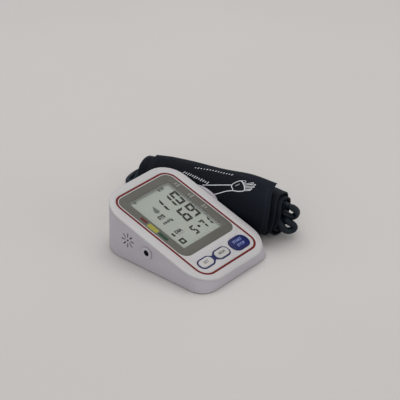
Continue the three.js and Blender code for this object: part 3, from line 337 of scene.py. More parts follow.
# The air jack's bore is painted dark inside: painted shade.
jack_painted_shade = in_hole(-50.4, middle_of("air_jack"), 0.00305)
slots_painted_shade = in_hole(-49.7, middle_of("speaker"), 0.0084)
SLOTS = {
    "case_white": moulded("case_white", WHITE, 0.42),
    # The speaker slots are painted dark inside: painted shade.
    "case_lavender": moulded("case_lavender", LAVENDER, 0.5, scale=2200, painted_patch=(SHADE, slots_painted_shade)),
    "trim_red": moulded("trim_red", (0.165, 0.012, 0.010), 0.45, tint=0.1, shine=0.15),
    # The bezel's window walls are painted in the display's tone: painted light over their shade.
    "bezel_grey": moulded(
        "bezel_grey", (0.130, 0.128, 0.110), 0.5, tint=0.08, shine=0.2, painted_patch=(DISPLAY_TONE, window_walls_painted_light)),
    "lens_clear": clear("lens_clear"),
    "lcd_green": liquid_crystal("lcd_green", DISPLAY_TONE),
    "key_grey": moulded("key_grey", (0.56, 0.55, 0.535), 0.55, tint=0.06, shine=0.3),
    "key_blue": moulded("key_blue", (0.010, 0.015, 0.105), 0.45, tint=0.15, shine=0.2),
    "inner_plastic": moulded("inner_plastic", (0.62, 0.62, 0.60), 0.55),
    "part_black": moulded("part_black", (0.025, 0.025, 0.03), 0.45, tint=0.15),
    "board_green": board("board_green", (0.02, 0.16, 0.07)),
    "nickel": metal("nickel", (0.60, 0.59, 0.56), 0.3),
    "grey_rubber": rubbery("grey_rubber", (0.045, 0.045, 0.05), 0.75),
    # The jack's bore is painted dark: painted shade.
    "jack_lavender": moulded(
        "jack_lavender", (0.52, 0.50, 0.55), 0.5, tint=0.1, painted_patch=(SHADE, jack_painted_shade)),
    "cell_sleeve": moulded("cell_sleeve", (0.05, 0.12, 0.08), 0.3, gloss=0.5, tint=0.15),
    "cuff_cloth": woven("cuff_cloth", (0.0040, 0.0048, 0.0088)),
    "hose_dark": rubbery("hose_dark", (0.003, 0.010, 0.019), 0.48, coat=0.05, scale=1500),
}

# Solids of the frame

SMOOTH_UNDER = math.radians(34)
BEVEL_OVER = math.radians(40)
BEVELS = {
    "upper_case": 0.00018, "lower_case": 0.00018, "display_bezel": 0.0002, "button_trim": 0.00015,
    "red_trim_ring": 0.00012, "set_button": 0.0002, "memory_button": 0.0002,
    "start_stop_button": 0.0002, "battery_cover": 0.0002, "air_jack": 0.0002,
}


def softened_normals():
    """Node group that shades smooth across shallow edges and keeps the sharp ones."""
    group = bpy.data.node_groups.new("smooth_by_angle", "GeometryNodeTree")
    group.interface.new_socket("Geometry", in_out="INPUT", socket_type="NodeSocketGeometry")
    group.interface.new_socket("Geometry", in_out="OUTPUT", socket_type="NodeSocketGeometry")
    source = group.nodes.new("NodeGroupInput")
    result = group.nodes.new("NodeGroupOutput")
    faces = group.nodes.new("GeometryNodeSetShadeSmooth")
    faces.domain = "FACE"
    edges = group.nodes.new("GeometryNodeSetShadeSmooth")
    edges.domain = "EDGE"
    angle = group.nodes.new("GeometryNodeInputMeshEdgeAngle")
    shallow = group.nodes.new("FunctionNodeCompare")
    shallow.operation = "LESS_THAN"
    shallow.inputs["B"].default_value = SMOOTH_UNDER
    link = group.links.new
    link(source.outputs["Geometry"], faces.inputs["Geometry"])
    link(faces.outputs["Geometry"], edges.inputs["Geometry"])
    link(angle.outputs["Unsigned Angle"], shallow.inputs["A"])
    link(shallow.outputs["Result"], edges.inputs["Shade Smooth"])
    link(edges.outputs["Geometry"], result.inputs["Geometry"])
    return group


def dress_solids():
    """Gives each solid its material, joins its faces, breaks its sharp edges and shades it."""
    slot_of = {entry["node"]: entry["material_slot"] for entry in frame["record"]["subparts"]}
    smoothing = softened_normals()
    for name, node in nodes.items():
        node.data.materials.clear()
        node.data.materials.append(SLOTS[slot_of[name]])
        weld = node.modifiers.new("weld", "WELD")
        weld.merge_threshold = 0.000002
        if name in BEVELS:
            edge = node.modifiers.new("bevel", "BEVEL")
            edge.width = BEVELS[name]
            edge.segments = 2
            edge.limit_method = "ANGLE"
            edge.angle_limit = BEVEL_OVER
            edge.use_clamp_overlap = True
        node.modifiers.new("shading", "NODES").node_group = smoothing


dress_solids()

# Pieces made here


def placed(name, mesh, body):
    obj = bpy.data.objects.new(name, mesh)
    bpy.context.scene.collection.objects.link(obj)
    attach(obj, body)
    return obj


def piece(name, points, faces, slot, body, material=None, uv=None, edge=None, flat=False):
    mesh = bpy.data.meshes.new(name)
    mesh.from_pydata([tuple(p) for p in points], [], [tuple(int(k) for k in face) for face in faces])
    mesh.validate()
    if uv is not None:
        layer = mesh.uv_layers.new(name="UVMap")
        flat_uv = np.asarray(uv, float)[[loop.vertex_index for loop in mesh.loops]]
        layer.data.foreach_set("uv", flat_uv.ravel())
    if edge is not None:
        mesh.attributes.new("edge", "FLOAT", "POINT").data.foreach_set("value", np.asarray(edge, float))
    if not flat:
        mesh.shade_smooth()
    mesh.materials.append(material or SLOTS[slot])
    return placed(name, mesh, body)


# Cuff: s runs along the roll from its near end, turn counts inwards from the edge of the flap

CUFF_X, CUFF_Y = 81.2, -50.0
YAW = math.radians(93.52)
CUFF_WIDTH = 165.0
CUFF_TURNS = 3.25
FLAP_ANGLE = math.radians(85)
BOTTOM_TURN = (1.5 * math.pi - FLAP_ANGLE) / (2 * math.pi)
# Each pair is a turn and its millimetres
ROLL_NEAR =[[0, 27.4], [0.5, 25.4], [0.95, 22], [1.5, 20.3], [1.95, 18.6], [3.25, 11.6]]
ROLL_FAR = [[0, 18], [3.25, 8.5]]
ROLL_SAG = [[0, 0], [0.5, 0], [0.95, 2.3], [3.25, 2.3]]
INSET_NEAR = [
    [0, 8], [0.3, 3.5], [0.38, 5], [0.46, 10], [0.56, 11], [0.7, 5], [0.95, 2.2],
    [1.3, 1.4], [1.45, 0], [1.6, 0], [1.88, -2.2], [2.1, -2.2], [2.35, -1], [2.6, -1], [3.25, 4],
]
INSET_FAR = [[0, 14], [0.45, 14], [0.95, 1], [1.45, 1], [1.95, 0], [3.25, 0]]
SHOULDER_START, SHOULDER_SLOPE = 132, 0.045
SWELL = 1.5
NEAR_SWELL, NEAR_SWELL_AT, NEAR_SWELL_REACH = 1.5, 36, 22
PAD_FAR, PAD_NEAR = 1.5, 2.2
HEM_WIDTH, HEM_STEP = 6.5, 2.5
FLAP_HEM, FLAP_HEM_STEP = 0.045, 0.02
HEM_SHARE, HEM_SUNK = 0.72, 0.18
LEAST_HEIGHT = 0.02
FLAP_LIFT, FLAP_LIFT_TURN = 0.9, 0.1
ROUND_EDGE, ROUND_FLAP = 0.9, 0.012
CUFF_COLUMNS, CUFF_STEPS = 60, 209


def value(pairs, turn):
    return np.interp(turn, [p[0] for p in pairs], [p[1] for p in pairs])


def near(s):
    return np.clip(1 - s / CUFF_WIDTH, 0, 1)


def bell(x):
    return math.cos(math.pi * x / 2) ** 2 if abs(x) < 1 else 0.0


def rise(x):
    """Runs straight from 0 to 1 and stays there."""
    return min(max(x, 0), 1)


def rounding(x):
    """Half the thickness lost x of the way in from a rounded edge."""
    return 0.5 - 0.5 * math.sqrt(max(1 - (1 - min(x, 1)) ** 2, 0))


def near_edge(turn):
    """Where the cloth starts at the near end, whose turns slant out towards the monitor."""
    part = turn % 1
    return value(INSET_NEAR, turn) + 4 * bell((part - 0.74) / 0.25) - 7 * bell((part - 0.21) / 0.21)


def far_edge(turn):
    return CUFF_WIDTH - value(INSET_FAR, turn)


def roll_radius(s, turn):
    shoulder = SHOULDER_SLOPE * np.maximum(s - SHOULDER_START, 0) * (1 - turn / CUFF_TURNS)
    swell = SWELL * np.sin(np.pi * near(s))
    near_swell = NEAR_SWELL * np.exp(-((s - NEAR_SWELL_AT) / NEAR_SWELL_REACH) ** 2)
    far = value(ROLL_FAR, turn)
    return far + (value(ROLL_NEAR, turn) - far) * near(s) + swell + near_swell - shoulder


def axis_height(s):
    return roll_radius(s, BOTTOM_TURN) - 0.5


def cuff_point(s, p, z):
    """A point s along the roll, p to its right and z above the table."""
    x = CUFF_X + s * math.cos(YAW) + p * math.sin(YAW)
    y = CUFF_Y + s * math.sin(YAW) - p * math.cos(YAW)
    return at(x, y, z)


def wave(s, turn):
    """Slack of the cloth over the bladder, in millimetres, mostly inwards."""
    a = 2 * math.pi * turn
    ripples = np.sin(s / 7.5 + 2.1 * np.sin(a * 1.5)) * 0.5 + np.sin(s / 17 - 1.7 * a + 0.6) * 0.5
    near_puckers = np.sin(a * 9 + s / 31) * np.exp(-s / 26)
    far_puckers = np.sin(a * 8 + 1) * np.exp(-(CUFF_WIDTH - s) / 22)
    return -0.22 + 0.2 * ripples + 0.16 * (near_puckers + far_puckers)


def cuff_surface(s, turn, depth):
    """A point of the cloth: depth is 0 on the outside of the turn and 1 on the inside."""
    angle = FLAP_ANGLE + 2 * math.pi * turn
    start, end = near_edge(turn), far_edge(turn)
    to_edge = min(s - start, end - s)
    pad = PAD_FAR + (PAD_NEAR - PAD_FAR) * near(s)
    hem = HEM_SHARE + (1 - HEM_SHARE) * rise((to_edge - HEM_WIDTH) / HEM_STEP)
    flap_hem = HEM_SHARE + (1 - HEM_SHARE) * rise((turn - FLAP_HEM) / FLAP_HEM_STEP)
    inner = pad * min(hem, flap_hem) * depth
    sunk = (1 - hem * flap_hem) * pad * HEM_SUNK
    corner = max(1 - (s - start) / (end - start), 0) ** 6
    lift = max(0.0, 1 - turn / FLAP_LIFT_TURN) ** 2 * FLAP_LIFT * (1 + 1.5 * corner)
    radius = roll_radius(s, turn) - inner - sunk + lift + wave(s, turn) * min(to_edge / 3, 1)
    height = axis_height(s) - value(ROLL_SAG, turn) * near(s) + radius * math.sin(angle)
    return cuff_point(s, radius * math.cos(angle), max(height, LEAST_HEIGHT + 0.12 * depth))


def make_cuff():
    turns = np.linspace(0, CUFF_TURNS, CUFF_STEPS)
    inside = np.linspace(0.03, 0.97, CUFF_COLUMNS - 6)
    shares = np.concatenate([[0, 0.0035, 0.012], inside, [0.988, 0.9965, 1]])
    loop = [(t, 0) for t in shares] + [(t, 1) for t in reversed(shares)]
    points, uv, edge = [], [], []
    for turn in turns:
        start, end = near_edge(turn), far_edge(turn)
        for t, depth in loop:
            s = start + (end - start) * t
            to_edge = min(s - start, end - s)
            pinch = max(rounding(to_edge / ROUND_EDGE), rounding(turn / ROUND_FLAP))
            points.append(cuff_surface(s, turn, depth + pinch * (1 - 2 * depth)))
            uv.append((s / 1000, turn * 2 * math.pi * 0.02 + 0.2 * depth))
            edge.append(1.0 if to_edge < HEM_WIDTH or turn < FLAP_HEM else 0.0)
    size = len(loop)
    faces = []
    for r in range(len(turns) - 1):
        for k in range(size):
            a, b = r * size + k, r * size + (k + 1) % size
            faces.append((a, b, b + size, a + size))
    last = (len(turns) - 1) * size
    for k in range(size // 2 - 1):
        faces.append((k + 1, k, size - 1 - k, size - 2 - k))
        faces.append((last + k, last + k + 1, last + size - 2 - k, last + size - 1 - k))
    cuff = piece("cuff_cloth_roll", points, faces, "cuff_cloth", "cuff", uv=uv, edge=edge)
    bm = bmesh.new()
    bm.from_mesh(cuff.data)
    bmesh.ops.remove_doubles(bm, verts=bm.verts, dist=0.000001)
    bmesh.ops.recalc_face_normals(bm, faces=bm.faces)
    bm.to_mesh(cuff.data)
    bm.free()
    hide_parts("cuff_roll")


make_cuff()

# Print and thread on the cuff, as flat strokes along lines of (s, turn) points

OUTER_RADIUS = 24
UNROLLED = np.array([1, 2 * math.pi * OUTER_RADIUS])  # millimetres in one step of s and in one turn
STROKE_STEP = 1.2


def on_cuff(s, turn, lift):
    """A point lift millimetres above the outside of the roll."""
    here = Vector(cuff_surface(s, turn, 0))
    along = Vector(cuff_surface(s + 0.6, turn, 0)) - here
    around = Vector(cuff_surface(s, turn + 0.004, 0)) - here
    out = along.cross(around).normalized()
    if out.dot(here - Vector(cuff_point(s, 0, axis_height(s)))) < 0:
        out = -out
    return here + out * lift / 1000


def strokes(name, lines, width, lift, slot, material):
    points, faces = [], []
    for line in lines:
        corners = np.array(line, float) * UNROLLED
        flat = []
        for a, b in zip(corners[:-1], corners[1:]):
            count = max(1, int(np.linalg.norm(b - a) / STROKE_STEP))
            flat += [a + (b - a) * j / count for j in range(count)]
        flat = np.array(flat + [corners[-1]])
        direction = np.gradient(flat, axis=0)
        direction /= np.linalg.norm(direction, axis=1)[:, None] + 1e-9
        side = np.stack([-direction[:, 1], direction[:, 0]], axis=1) * width / 2
        base, n = len(points), len(flat)
        for sign in (-1, 1):
            points += [on_cuff(*((p + sign * d) / UNROLLED), lift) for p, d in zip(flat, side)]
        faces += [(base + j, base + j + 1, base + n + j + 1, base + n + j) for j in range(n - 1)]
    piece(name, points, faces, slot, "cuff", material)


def curve_through(points, steps=6):
    """A smooth line through points, as Catmull-Rom pieces."""
    p = np.array(points, float)
    ext = np.vstack([2 * p[0] - p[1], p, 2 * p[-1] - p[-2]])
    out = []
    for k in range(len(p) - 1):
        a, b, c, d = ext[k:k + 4]
        for j in range(steps):
            t = j / steps
            out.append(0.5 * (2 * b + (c - a) * t + (2 * a - 5 * b + 4 * c - d) * t * t
                              + (3 * b - a - 3 * c + d) * t ** 3))
    out.append(p[-1])
    return np.array(out)


ARM = [
    [(79.5, 0.167), (70.8, 0.152), (59.4, 0.133), (47.1, 0.117)],
    [(63.4, 0.203), (56.7, 0.181), (49.9, 0.160), (43.5, 0.147)],
]
PALM = [
    (47.1, 0.117), (46.6, 0.107), (44.6, 0.093), (41.7, 0.079), (39.9, 0.078), (37.4, 0.086),
    (34.6, 0.099), (32.5, 0.114), (31.9, 0.127), (33.9, 0.135), (38.1, 0.143), (43.5, 0.147),
]
WRIST = [(47.1, 0.117), (46.7, 0.127), (44.5, 0.136), (43.5, 0.147)]
FINGERS = [
    [(40.6, 0.078), (38.5, 0.073), (36.4, 0.069), (35.3, 0.075), (35.7, 0.080), (37.5, 0.086)],
    [(36.2, 0.091), (32.4, 0.080), (28.5, 0.063), (27.6, 0.066), (29.9, 0.080), (34.7, 0.097)],
    [(34.6, 0.098), (29.4, 0.080), (25.4, 0.068), (24.6, 0.072), (27.4, 0.086), (33.7, 0.103)],
    [(33.6, 0.104), (28.0, 0.089), (25.1, 0.083), (24.5, 0.088), (27.5, 0.098), (32.7, 0.111)],
    [(32.7, 0.112), (28.1, 0.101), (25.9, 0.099), (25.5, 0.105), (28.4, 0.112), (32.0, 0.119)],
    [(32.0, 0.120), (28.3, 0.113), (26.0, 0.110), (27.4, 0.117), (31.8, 0.128)],
]
CREASE = [(43.0, 0.118), (41.4, 0.109), (39.9, 0.098)]
CUFF_PRINT = ink("cuff_print", (0.80, 0.82, 0.86))
PRINT_LIFT = 0.1
CUFF_THREAD = ink("cuff_thread", (0.035, 0.045, 0.06), 0.7)
HEM_SEAM, FLAP_SEAM = 5.4, 0.039


def hand_sign():
    """A forearm and its hand in outline."""
    outline = [curve_through(line) for line in ARM + [PALM, WRIST]]
    strokes("cuff_hand_sign", outline, 0.75, PRINT_LIFT, "case_white", CUFF_PRINT)
    thin = [curve_through(line) for line in FINGERS + [CREASE]]
    strokes("cuff_hand_fingers", thin, 0.42, PRINT_LIFT, "case_white", CUFF_PRINT)


def row_of_marks(name, middle, count, slant, reach):
    """Short slanting strokes spread along a curve, whose s falls from point to point."""
    line = curve_through(middle)[::-1]
    s = np.linspace(line[0, 0], line[-1, 0], count)
    turn = np.interp(s, line[:, 0], line[:, 1])
    marks = [[(a - slant, b - r), (a + slant, b + r)] for a, b, r in zip(s, turn, np.resize(reach, count))]
    strokes(name, marks, 0.8, PRINT_LIFT, "case_white", CUFF_PRINT)


def stitches(name, line):
    """A row of short threads."""
    pitch, length = 2.4, 1.5
    line = np.array(line, float)
    steps = np.linalg.norm(np.diff(line, axis=0) * UNROLLED, axis=1)
    where = np.concatenate([[0], np.cumsum(steps)])
    rows = []
    for d in np.arange(pitch, where[-1] - pitch, pitch):
        rows.append([[np.interp(x, where, line[:, k]) for k in (0, 1)] for x in (d, d + length)])
    strokes(name, rows, 0.32, 0.06, "cuff_cloth", CUFF_THREAD)


hand_sign()
index_line = [(97.0, 0.064), (86.7, 0.054), (76.4, 0.046), (54.8, 0.047)]
row_of_marks("cuff_index_marks", index_line, 14, 0.5, [0.0050, 0.0030, 0.0035])
range_line = [(105.6, 0.120), (89.3, 0.132), (74.7, 0.144)]
row_of_marks("cuff_range_marks", range_line, 12, 0.8, [0.009, 0.005, 0.007])
seam_turns = np.linspace(0.04, 0.93, 60)
stitches("cuff_stitching_near", [(near_edge(t) + HEM_SEAM, t) for t in seam_turns])
stitches("cuff_stitching_far", [(far_edge(t) - HEM_SEAM, t) for t in seam_turns])
stitches("cuff_stitching_flap", [(s, FLAP_SEAM) for s in np.linspace(14, 144, 30)])

# Air hose, in the places of cuff_point: the solid's points, with the lower strand a little higher

HOSE_DIAMETER = 5.5
NEAR_LOOPS_DIAMETER = 6.6
DRAWN_IN = 0.6
UPPER_LOOP, LOWER_LOOP = (-7.6, 6.8, 25.5), (-8.2, 1.8, 12.4)
HOSE_SIDES = 20
SAMPLES_PER_MM = 0.7


def in_bore(s, p, rise_above):
    return (s, p, axis_height(s) - value(ROLL_SAG, CUFF_TURNS) * near(s) + rise_above)


def in_loop(middle, *points):
    """Points of a near loop, drawn in towards its middle to leave room for the fuller hose."""
    gaps = np.subtract(middle, points)
    return np.add(points, DRAWN_IN * gaps / np.linalg.norm(gaps, axis=1)[:, None]).tolist()


HOSE = [
    (-6.2, 3.54, 33.17), (-7.4, 3.68, 33.06),
    *in_loop(
        UPPER_LOOP, (-9.3, 5, 32.2), (-10.9, 7.4, 30), (-11.3, 9.8, 27), (-10.6, 11.2, 23.4),
        (-8.7, 11.5, 19.6), (-6, 9.4, 17.9), (-3.6, 6.9, 19.5),
    ),
    (-1.4, 4.8, 22.3), (2, 3.8, 24.9), in_bore(6, 3.8, 2.8), in_bore(40, 3.8, 2.4),
    in_bore(110, 3.2, 0.4), in_bore(150, 2.6, -1.8), in_bore(162.4, 2.9, -1.5),
    (168.4, 2.5, 11), (173.6, -0.8, 8.4), (176.3, -5.6, 5.6), (176.7, -10.6, 4.2),
    (175.2, -14.8, 3.3), (171.9, -16.6, 3.2), (168.9, -14.6, 3.9), (168.3, -10.6, 6.2),
    (168.7, -7, 9), (166.9, -4.3, 11.7), in_bore(159.6, -2.9, 0.6), in_bore(150, -3, 1.4),
    in_bore(110, -3, -0.8), in_bore(50, -0.4, -3.9), in_bore(12, 1.6, -4.6), (5, 1, 17.4),
    *in_loop(
        LOWER_LOOP, (-0.5, 0.9, 17.7), (-4.2, 1.2, 18.3), (-7.6, 2.2, 17.6), (-10.4, 4.8, 14.8),
        (-12, 7, 11.2), (-11.6, 6.2, 8.2), (-9, 2.6, 6.9), (-6.6, -1.4, 8.4), (-5.4, -4.8, 11.8),
        (-3.8, -6.4, 15.5), (-0.8, -6.3, 18.9),
    ),
    (3, -5.3, 21.6), in_bore(7.4, -4.68, 0.4), in_bore(9, -4.7, 0.4),
]


def centripetal(points):
    """Centripetal Catmull-Rom curve through points, sampled finely."""
    p = np.array(points, float)
    p = np.vstack([2 * p[0] - p[1], p, 2 * p[-1] - p[-2]])
    out = []
    for k in range(1, len(p) - 2):
        p0, p1, p2, p3 = p[k - 1:k + 3]
        t = np.cumsum([0] + [np.linalg.norm(b - a) ** 0.5 for a, b in ((p0, p1), (p1, p2), (p2, p3))])
        count = max(2, int(np.linalg.norm(p2 - p1) * SAMPLES_PER_MM * 1000))
        for x in np.linspace(t[1], t[2], count, endpoint=False):
            a1 = (p0 * (t[1] - x) + p1 * (x - t[0])) / (t[1] - t[0])
            a2 = (p1 * (t[2] - x) + p2 * (x - t[1])) / (t[2] - t[1])
            a3 = (p2 * (t[3] - x) + p3 * (x - t[2])) / (t[3] - t[2])
            b1 = (a1 * (t[2] - x) + a2 * (x - t[0])) / (t[2] - t[0])
            b2 = (a2 * (t[3] - x) + a3 * (x - t[1])) / (t[3] - t[1])
            out.append((b1 * (t[2] - x) + b2 * (x - t[1])) / (t[2] - t[1]))
    out.append(p[-2])
    return np.array(out)


def eased(path):
    """Takes the kinks out of a path and leaves its ends."""
    path = path.copy()
    for _ in range(2):
        path[1:-1] = path[1:-1] / 2 + (path[:-2] + path[2:]) / 4
    return path


def round_tube(name, path, radii, slot, body):
    """A closed round tube along a path, with a radius for each point."""
    tangents = np.gradient(path, axis=0)
    tangents /= np.linalg.norm(tangents, axis=1)[:, None]
    across = np.cross((0, 0, 1), tangents[0])
    across /= np.linalg.norm(across)
    points, faces = [], []
    for p, t, r in zip(path, tangents, radii):
        across = across - t * (across @ t)
        across /= np.linalg.norm(across)
        other = np.cross(t, across)
        for k in range(HOSE_SIDES):
            a = 2 * math.pi * k / HOSE_SIDES
            points.append(p + (across * math.cos(a) + other * math.sin(a)) * r)
    for ring in range(0, (len(path) - 1) * HOSE_SIDES, HOSE_SIDES):
        for k in range(HOSE_SIDES):
            a, b = ring + k, ring + (k + 1) % HOSE_SIDES
            faces.append((a, b, b + HOSE_SIDES, a + HOSE_SIDES))
    faces.append(tuple(reversed(range(HOSE_SIDES))))
    faces.append(tuple(range((len(path) - 1) * HOSE_SIDES, len(path) * HOSE_SIDES)))
    return piece(name, points, faces, slot, body)


def make_hose():
    """The hose is fuller in its near loops, past the end of the bore and clear of the gland."""
    path = eased(centripetal([cuff_point(*p) for p in HOSE]))
    length = float(np.linalg.norm(np.diff(path, axis=0), axis=1).sum())
    along = (path - cuff_point(0, 0, 0)) @ (math.cos(YAW), math.sin(YAW), 0)
    out_of_bore = np.interp(along, (-0.002, 0.004), (1, 0))
    from_gland = np.arange(len(path)) * length / len(path)
    clear_of_gland = np.interp(from_gland, (0.0015, 0.006), (0, 1))
    fuller = (NEAR_LOOPS_DIAMETER - HOSE_DIAMETER) * out_of_bore * clear_of_gland
    radii = (HOSE_DIAMETER + fuller) / 2000
    hose = round_tube("cuff_air_hose", path, radii, "hose_dark", "cuff")
    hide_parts("air_hose")


make_hose()

# Display content, bezel and keys: places are x and s on the panel

DISPLAY_DEPTH, KEY_RISE = 2.8, 0.8
LCD_LEVEL = 0.04 - DISPLAY_DEPTH
BEZEL_LEVEL = 0.2
KEY_LEVEL = KEY_RISE + 0.012
WORD_LIFT = 0.01
PLATE_THICKNESS = 0.03
DIGIT_SLANT = 0.12
SEGMENT_GAP = 0.12
SEGMENTS = {"0": "abcdef", "1": "bc", "5": "afgcd", "6": "afgcde", "7": "abc", "9": "abcdfg"}


def segment(kind, w, h, stroke):
    """Corners of one display segment, in a cell of w by h from its lower left."""
    g, r, m = SEGMENT_GAP, stroke / 2, h / 2
    if kind in "ad":
        corners = [(g, h), (stroke + g, h - stroke), (w - stroke - g, h - stroke), (w - g, h)]
    elif kind == "g":
        corners = [(r + g, m), (stroke + g, m - r), (w - stroke - g, m - r),
                   (w - r - g, m), (w - stroke - g, m + r), (stroke + g, m + r)]
    else:
        corners = [(w, h - g), (w - stroke, h - stroke - g), (w - stroke, m + r + g),
                   (w - r, m + g), (w, m + r + g)]
    if kind in "cde":
        corners = [(x, h - y) for x, y in reversed(corners)]
    if kind in "ef":
        corners = [(w - x, y) for x, y in reversed(corners)]
    return corners


def digits(text, right_edge, bottom, w, h, stroke, pitch):
    shapes = []
    for k, character in enumerate(reversed(text)):
        left = right_edge - w - k * pitch
        for kind in SEGMENTS[character]:
            shapes.append([(left + x + (y - h / 2) * DIGIT_SLANT, bottom + y)
                           for x, y in segment(kind, w, h, stroke)])
    return shapes


def disc(x, s, r, sides=20):
    angles = [2 * math.pi * k / sides for k in range(sides)]
    return [(x + r * math.cos(a), s + r * math.sin(a)) for a in angles]


def rectangle(x, s, w, h):
    return [(x - w / 2, s - h / 2), (x + w / 2, s - h / 2), (x + w / 2, s + h / 2), (x - w / 2, s + h / 2)]


def box_mark(x, s):
    """Two lying and two standing bars that close a small box."""
    bar = 1.9
    lying = [rectangle(x, s + ds, 6.4, bar) for ds in (2.4, -2.4)]
    return lying + [rectangle(x + dx, s, bar, 6.6) for dx in (-2.3, 2.3)]


def drop(x, s, r, tip_x, tip_s):
    """A round drop about (x, s), whose tip stands off its middle by tip_x and tip_s."""
    angles = np.linspace(math.radians(150), math.radians(395), 16)
    return [(x + r * math.cos(a), s + r * math.sin(a)) for a in angles] + [(x + tip_x, s + tip_s)]


def plates(name, shapes, n, slot, material):
    """Flat thin shapes on the panel, each a list of (x, s) corners."""
    points, faces = [], []
    for shape in shapes:
        base, count = len(points), len(shape)
        points += [on_panel(x, s, n) for x, s in shape]
        points += [on_panel(x, s, n + PLATE_THICKNESS) for x, s in shape]
        faces.append(tuple(base + k for k in reversed(range(count))))
        faces.append(tuple(base + count + k for k in range(count)))
        faces += [(base + k, base + (k + 1) % count, base + count + (k + 1) % count, base + count + k)
                  for k in range(count)]
    piece(name, points, faces, slot, "monitor", material, flat=True)


def words(name, text, x, s, n, size, material, body="monitor", shear=0.0, squeeze=1.0, bold=0.03):
    """Plain lettering that lies on the panel, centred at (x, s)."""
    data = bpy.data.curves.new(name, "FONT")
    data.body = text
    data.align_x, data.align_y = "CENTER", "CENTER"
    data.size = size / 1000
    data.shear = shear
    data.offset = size / 1000 * bold
    data.extrude = 0.00001
    data.resolution_u = 3
    maker = bpy.data.objects.new(name, data)
    bpy.context.scene.collection.objects.link(maker)
    bpy.context.view_layer.update()
    mesh = bpy.data.meshes.new_from_object(maker.evaluated_get(bpy.context.evaluated_depsgraph_get()))
    bpy.data.objects.remove(maker)
    turn = Matrix.Rotation(TILT, 4, "X") @ Matrix.Diagonal((squeeze, 1, 1, 1))
    mesh.transform(Matrix.Translation(Vector(on_panel(x, s, n))) @ turn)
    mesh.materials.clear()
    mesh.materials.append(material)
    mesh.name = name
    placed(name, mesh, body)


def display_content():
    black = ink("lcd_black", (0.002, 0.0025, 0.002), 0.8, shine=0.05)
    grey = ink("lcd_grey", (0.13, 0.15, 0.13), 0.7)
    dark = ink("lcd_dark", (0.018, 0.022, 0.019), 0.8, shine=0.05)
    shapes = digits("110", 25.99, 21.26, w=9.0, h=16.4, stroke=2.5, pitch=11.35)
    shapes += digits("69", 25.99, 1.35, w=9.2, h=16.4, stroke=2.5, pitch=11.6)
    plates("lcd_digits", shapes, LCD_LEVEL, "lcd_green", black)
    shapes = digits("71", 25.85, -15.43, w=6.0, h=11.0, stroke=2.0, pitch=7.5)
    shapes += digits("5", 5.26, -15.43, w=6.0, h=11.0, stroke=2.0, pitch=7.5)
    shapes += [disc(9.84, -8.92, 1.6), rectangle(-20.19, -3.37, 2.4, 4.4)]
    shapes += box_mark(-18.57, -13.83)
    plates("lcd_pulse_row", shapes, LCD_LEVEL, "lcd_green", black)
    corner_mark = [(-21.43, 48.2), (-17.23, 48.4), (-18.43, 45.8), (-20.03, 46.0)]
    underlines = [rectangle(-12.09, 16.91, 8.6, 0.36), rectangle(-11.9, -6.24, 8.2, 0.36)]
    shapes = [drop(-9.99, 27.71, 2.9, 1.6, 7.0)] + underlines + [corner_mark]
    plates("lcd_symbols", shapes, LCD_LEVEL, "lcd_green", grey)
    for name, text, x, s, size, shear, bold in (
        ("lcd_word_sys", "SYS", -12.09, 19.78, 5.4, 0.1, 0.06),
        ("lcd_word_mmhg", "mmHg", -11.13, 12.37, 4.6, 0.0, 0.04),
        ("lcd_word_dia", "DIA", -12.47, -2.53, 5.2, 0.1, 0.06),
        ("lcd_word_time", "8:30", 16.04, 46.45, 4.5, 0.0, 0.03),
    ):
        words(name, text, x, s, LCD_LEVEL + WORD_LIFT, size, dark, shear=shear, bold=bold)


def bezel_marks():
    """The scale of ranges on the left and plain words on the right."""
    for name, color, x, s, w, h in (
        ("range_mark_red", (0.115, 0.026, 0.020), -32.32, 24.23, 3.4, 8.52),
        ("range_mark_yellow", (0.36, 0.34, 0.06), -32.89, 12.1, 5.2, 12.04),
        ("range_mark_green", (0.012, 0.062, 0.032), -32.89, -1.14, 3.4, 11.48),
    ):
        plates(name, [rectangle(x, s, w, h)], BEZEL_LEVEL, "bezel_grey", ink(name, color, 0.45))
    pale = ink("bezel_print", (0.42, 0.43, 0.40))
    column, size = 31.9, 2.3
    for name, text, s in (
        ("bezel_word_sys", "SYS", 42.19), ("bezel_word_sys_unit", "mmHg", 39.23),
        ("bezel_word_dia", "DIA", 24.32), ("bezel_word_dia_unit", "mmHg", 21.36),
        ("bezel_word_pulse", "PULSE", 5.81), ("bezel_word_pulse_unit", "/min", 2.84),
    ):
        words(name, text, column, s, BEZEL_LEVEL + WORD_LIFT, size, pale, squeeze=0.85)


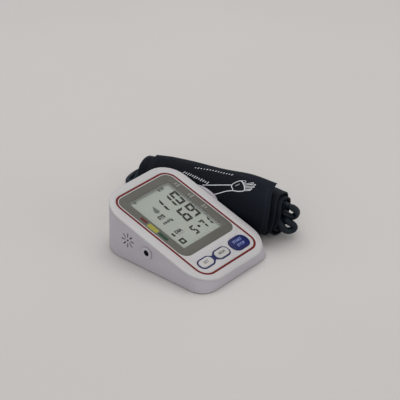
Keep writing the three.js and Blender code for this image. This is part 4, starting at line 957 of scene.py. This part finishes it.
def key_words():
    grey = ink("key_print", (0.20, 0.19, 0.17))
    blue = ink("start_print", (0.21, 0.26, 0.53))
    for name, text, x, body in (
        ("set_word", "SET", -23.9, "set_key"), ("memory_word", "MEM", -1.9, "memory_key"),
    ):
        words(name, text, x, -47.3, KEY_LEVEL, 4.2, grey, body)
    for name, text, s in (("start_word", "START", -45.3), ("stop_word", "STOP", -50.4)):
        words(name, text, 22.7, s, KEY_LEVEL, 4.1, blue, "start_stop_key", bold=0.04)


display_content()
bezel_marks()
key_words()

# Floor and light


def add_floor():
    mesh = bpy.data.meshes.new("floor")
    mesh.from_pydata([(-3, -3, 0), (3, -3, 0), (3, 3, 0), (-3, 3, 0)], [], [(0, 1, 2, 3)])
    n = Nodes("floor")
    patches = n.ranged(n.noise(3, 2), 0.3, 0.7)
    tone = n.mix(patches, rgba((0.655, 0.635, 0.615)), rgba((0.675, 0.655, 0.635)))
    mesh.materials.append(n.finish(Base_Color=tone, Roughness=0.8))
    floor = bpy.data.objects.new("floor", mesh)
    floor.location.z = -0.00002
    bpy.context.scene.collection.objects.link(floor)


def add_world():
    world = bpy.data.worlds.new("world")
    world.use_nodes = True
    background = world.node_tree.nodes["Background"]
    background.inputs["Color"].default_value = (1.0, 0.985, 0.985, 1)
    background.inputs["Strength"].default_value = 0.5
    bpy.context.scene.world = world


def area_light(name, location, size, power, color=(1, 1, 1)):
    data = bpy.data.lights.new(name, "AREA")
    data.shape = "DISK"
    data.size = size
    data.energy = power
    data.color = color
    light = bpy.data.objects.new(name, data)
    light.location = location
    light.rotation_euler = (-Vector(location)).to_track_quat("-Z", "Y").to_euler()
    bpy.context.scene.collection.objects.link(light)


add_floor()
add_world()
area_light("key_light", (0.3, 0.3, 1.35), 1.3, 7.0)
area_light("side_light", (-1.2, -0.6, 0.7), 0.9, 2.2, (0.97, 0.96, 1.0))
area_light("front_light", (0.3, -1.3, 0.6), 0.8, 1.2)
bpy.context.scene.view_settings.view_transform = "Standard"

bpy.context.view_layer.update()
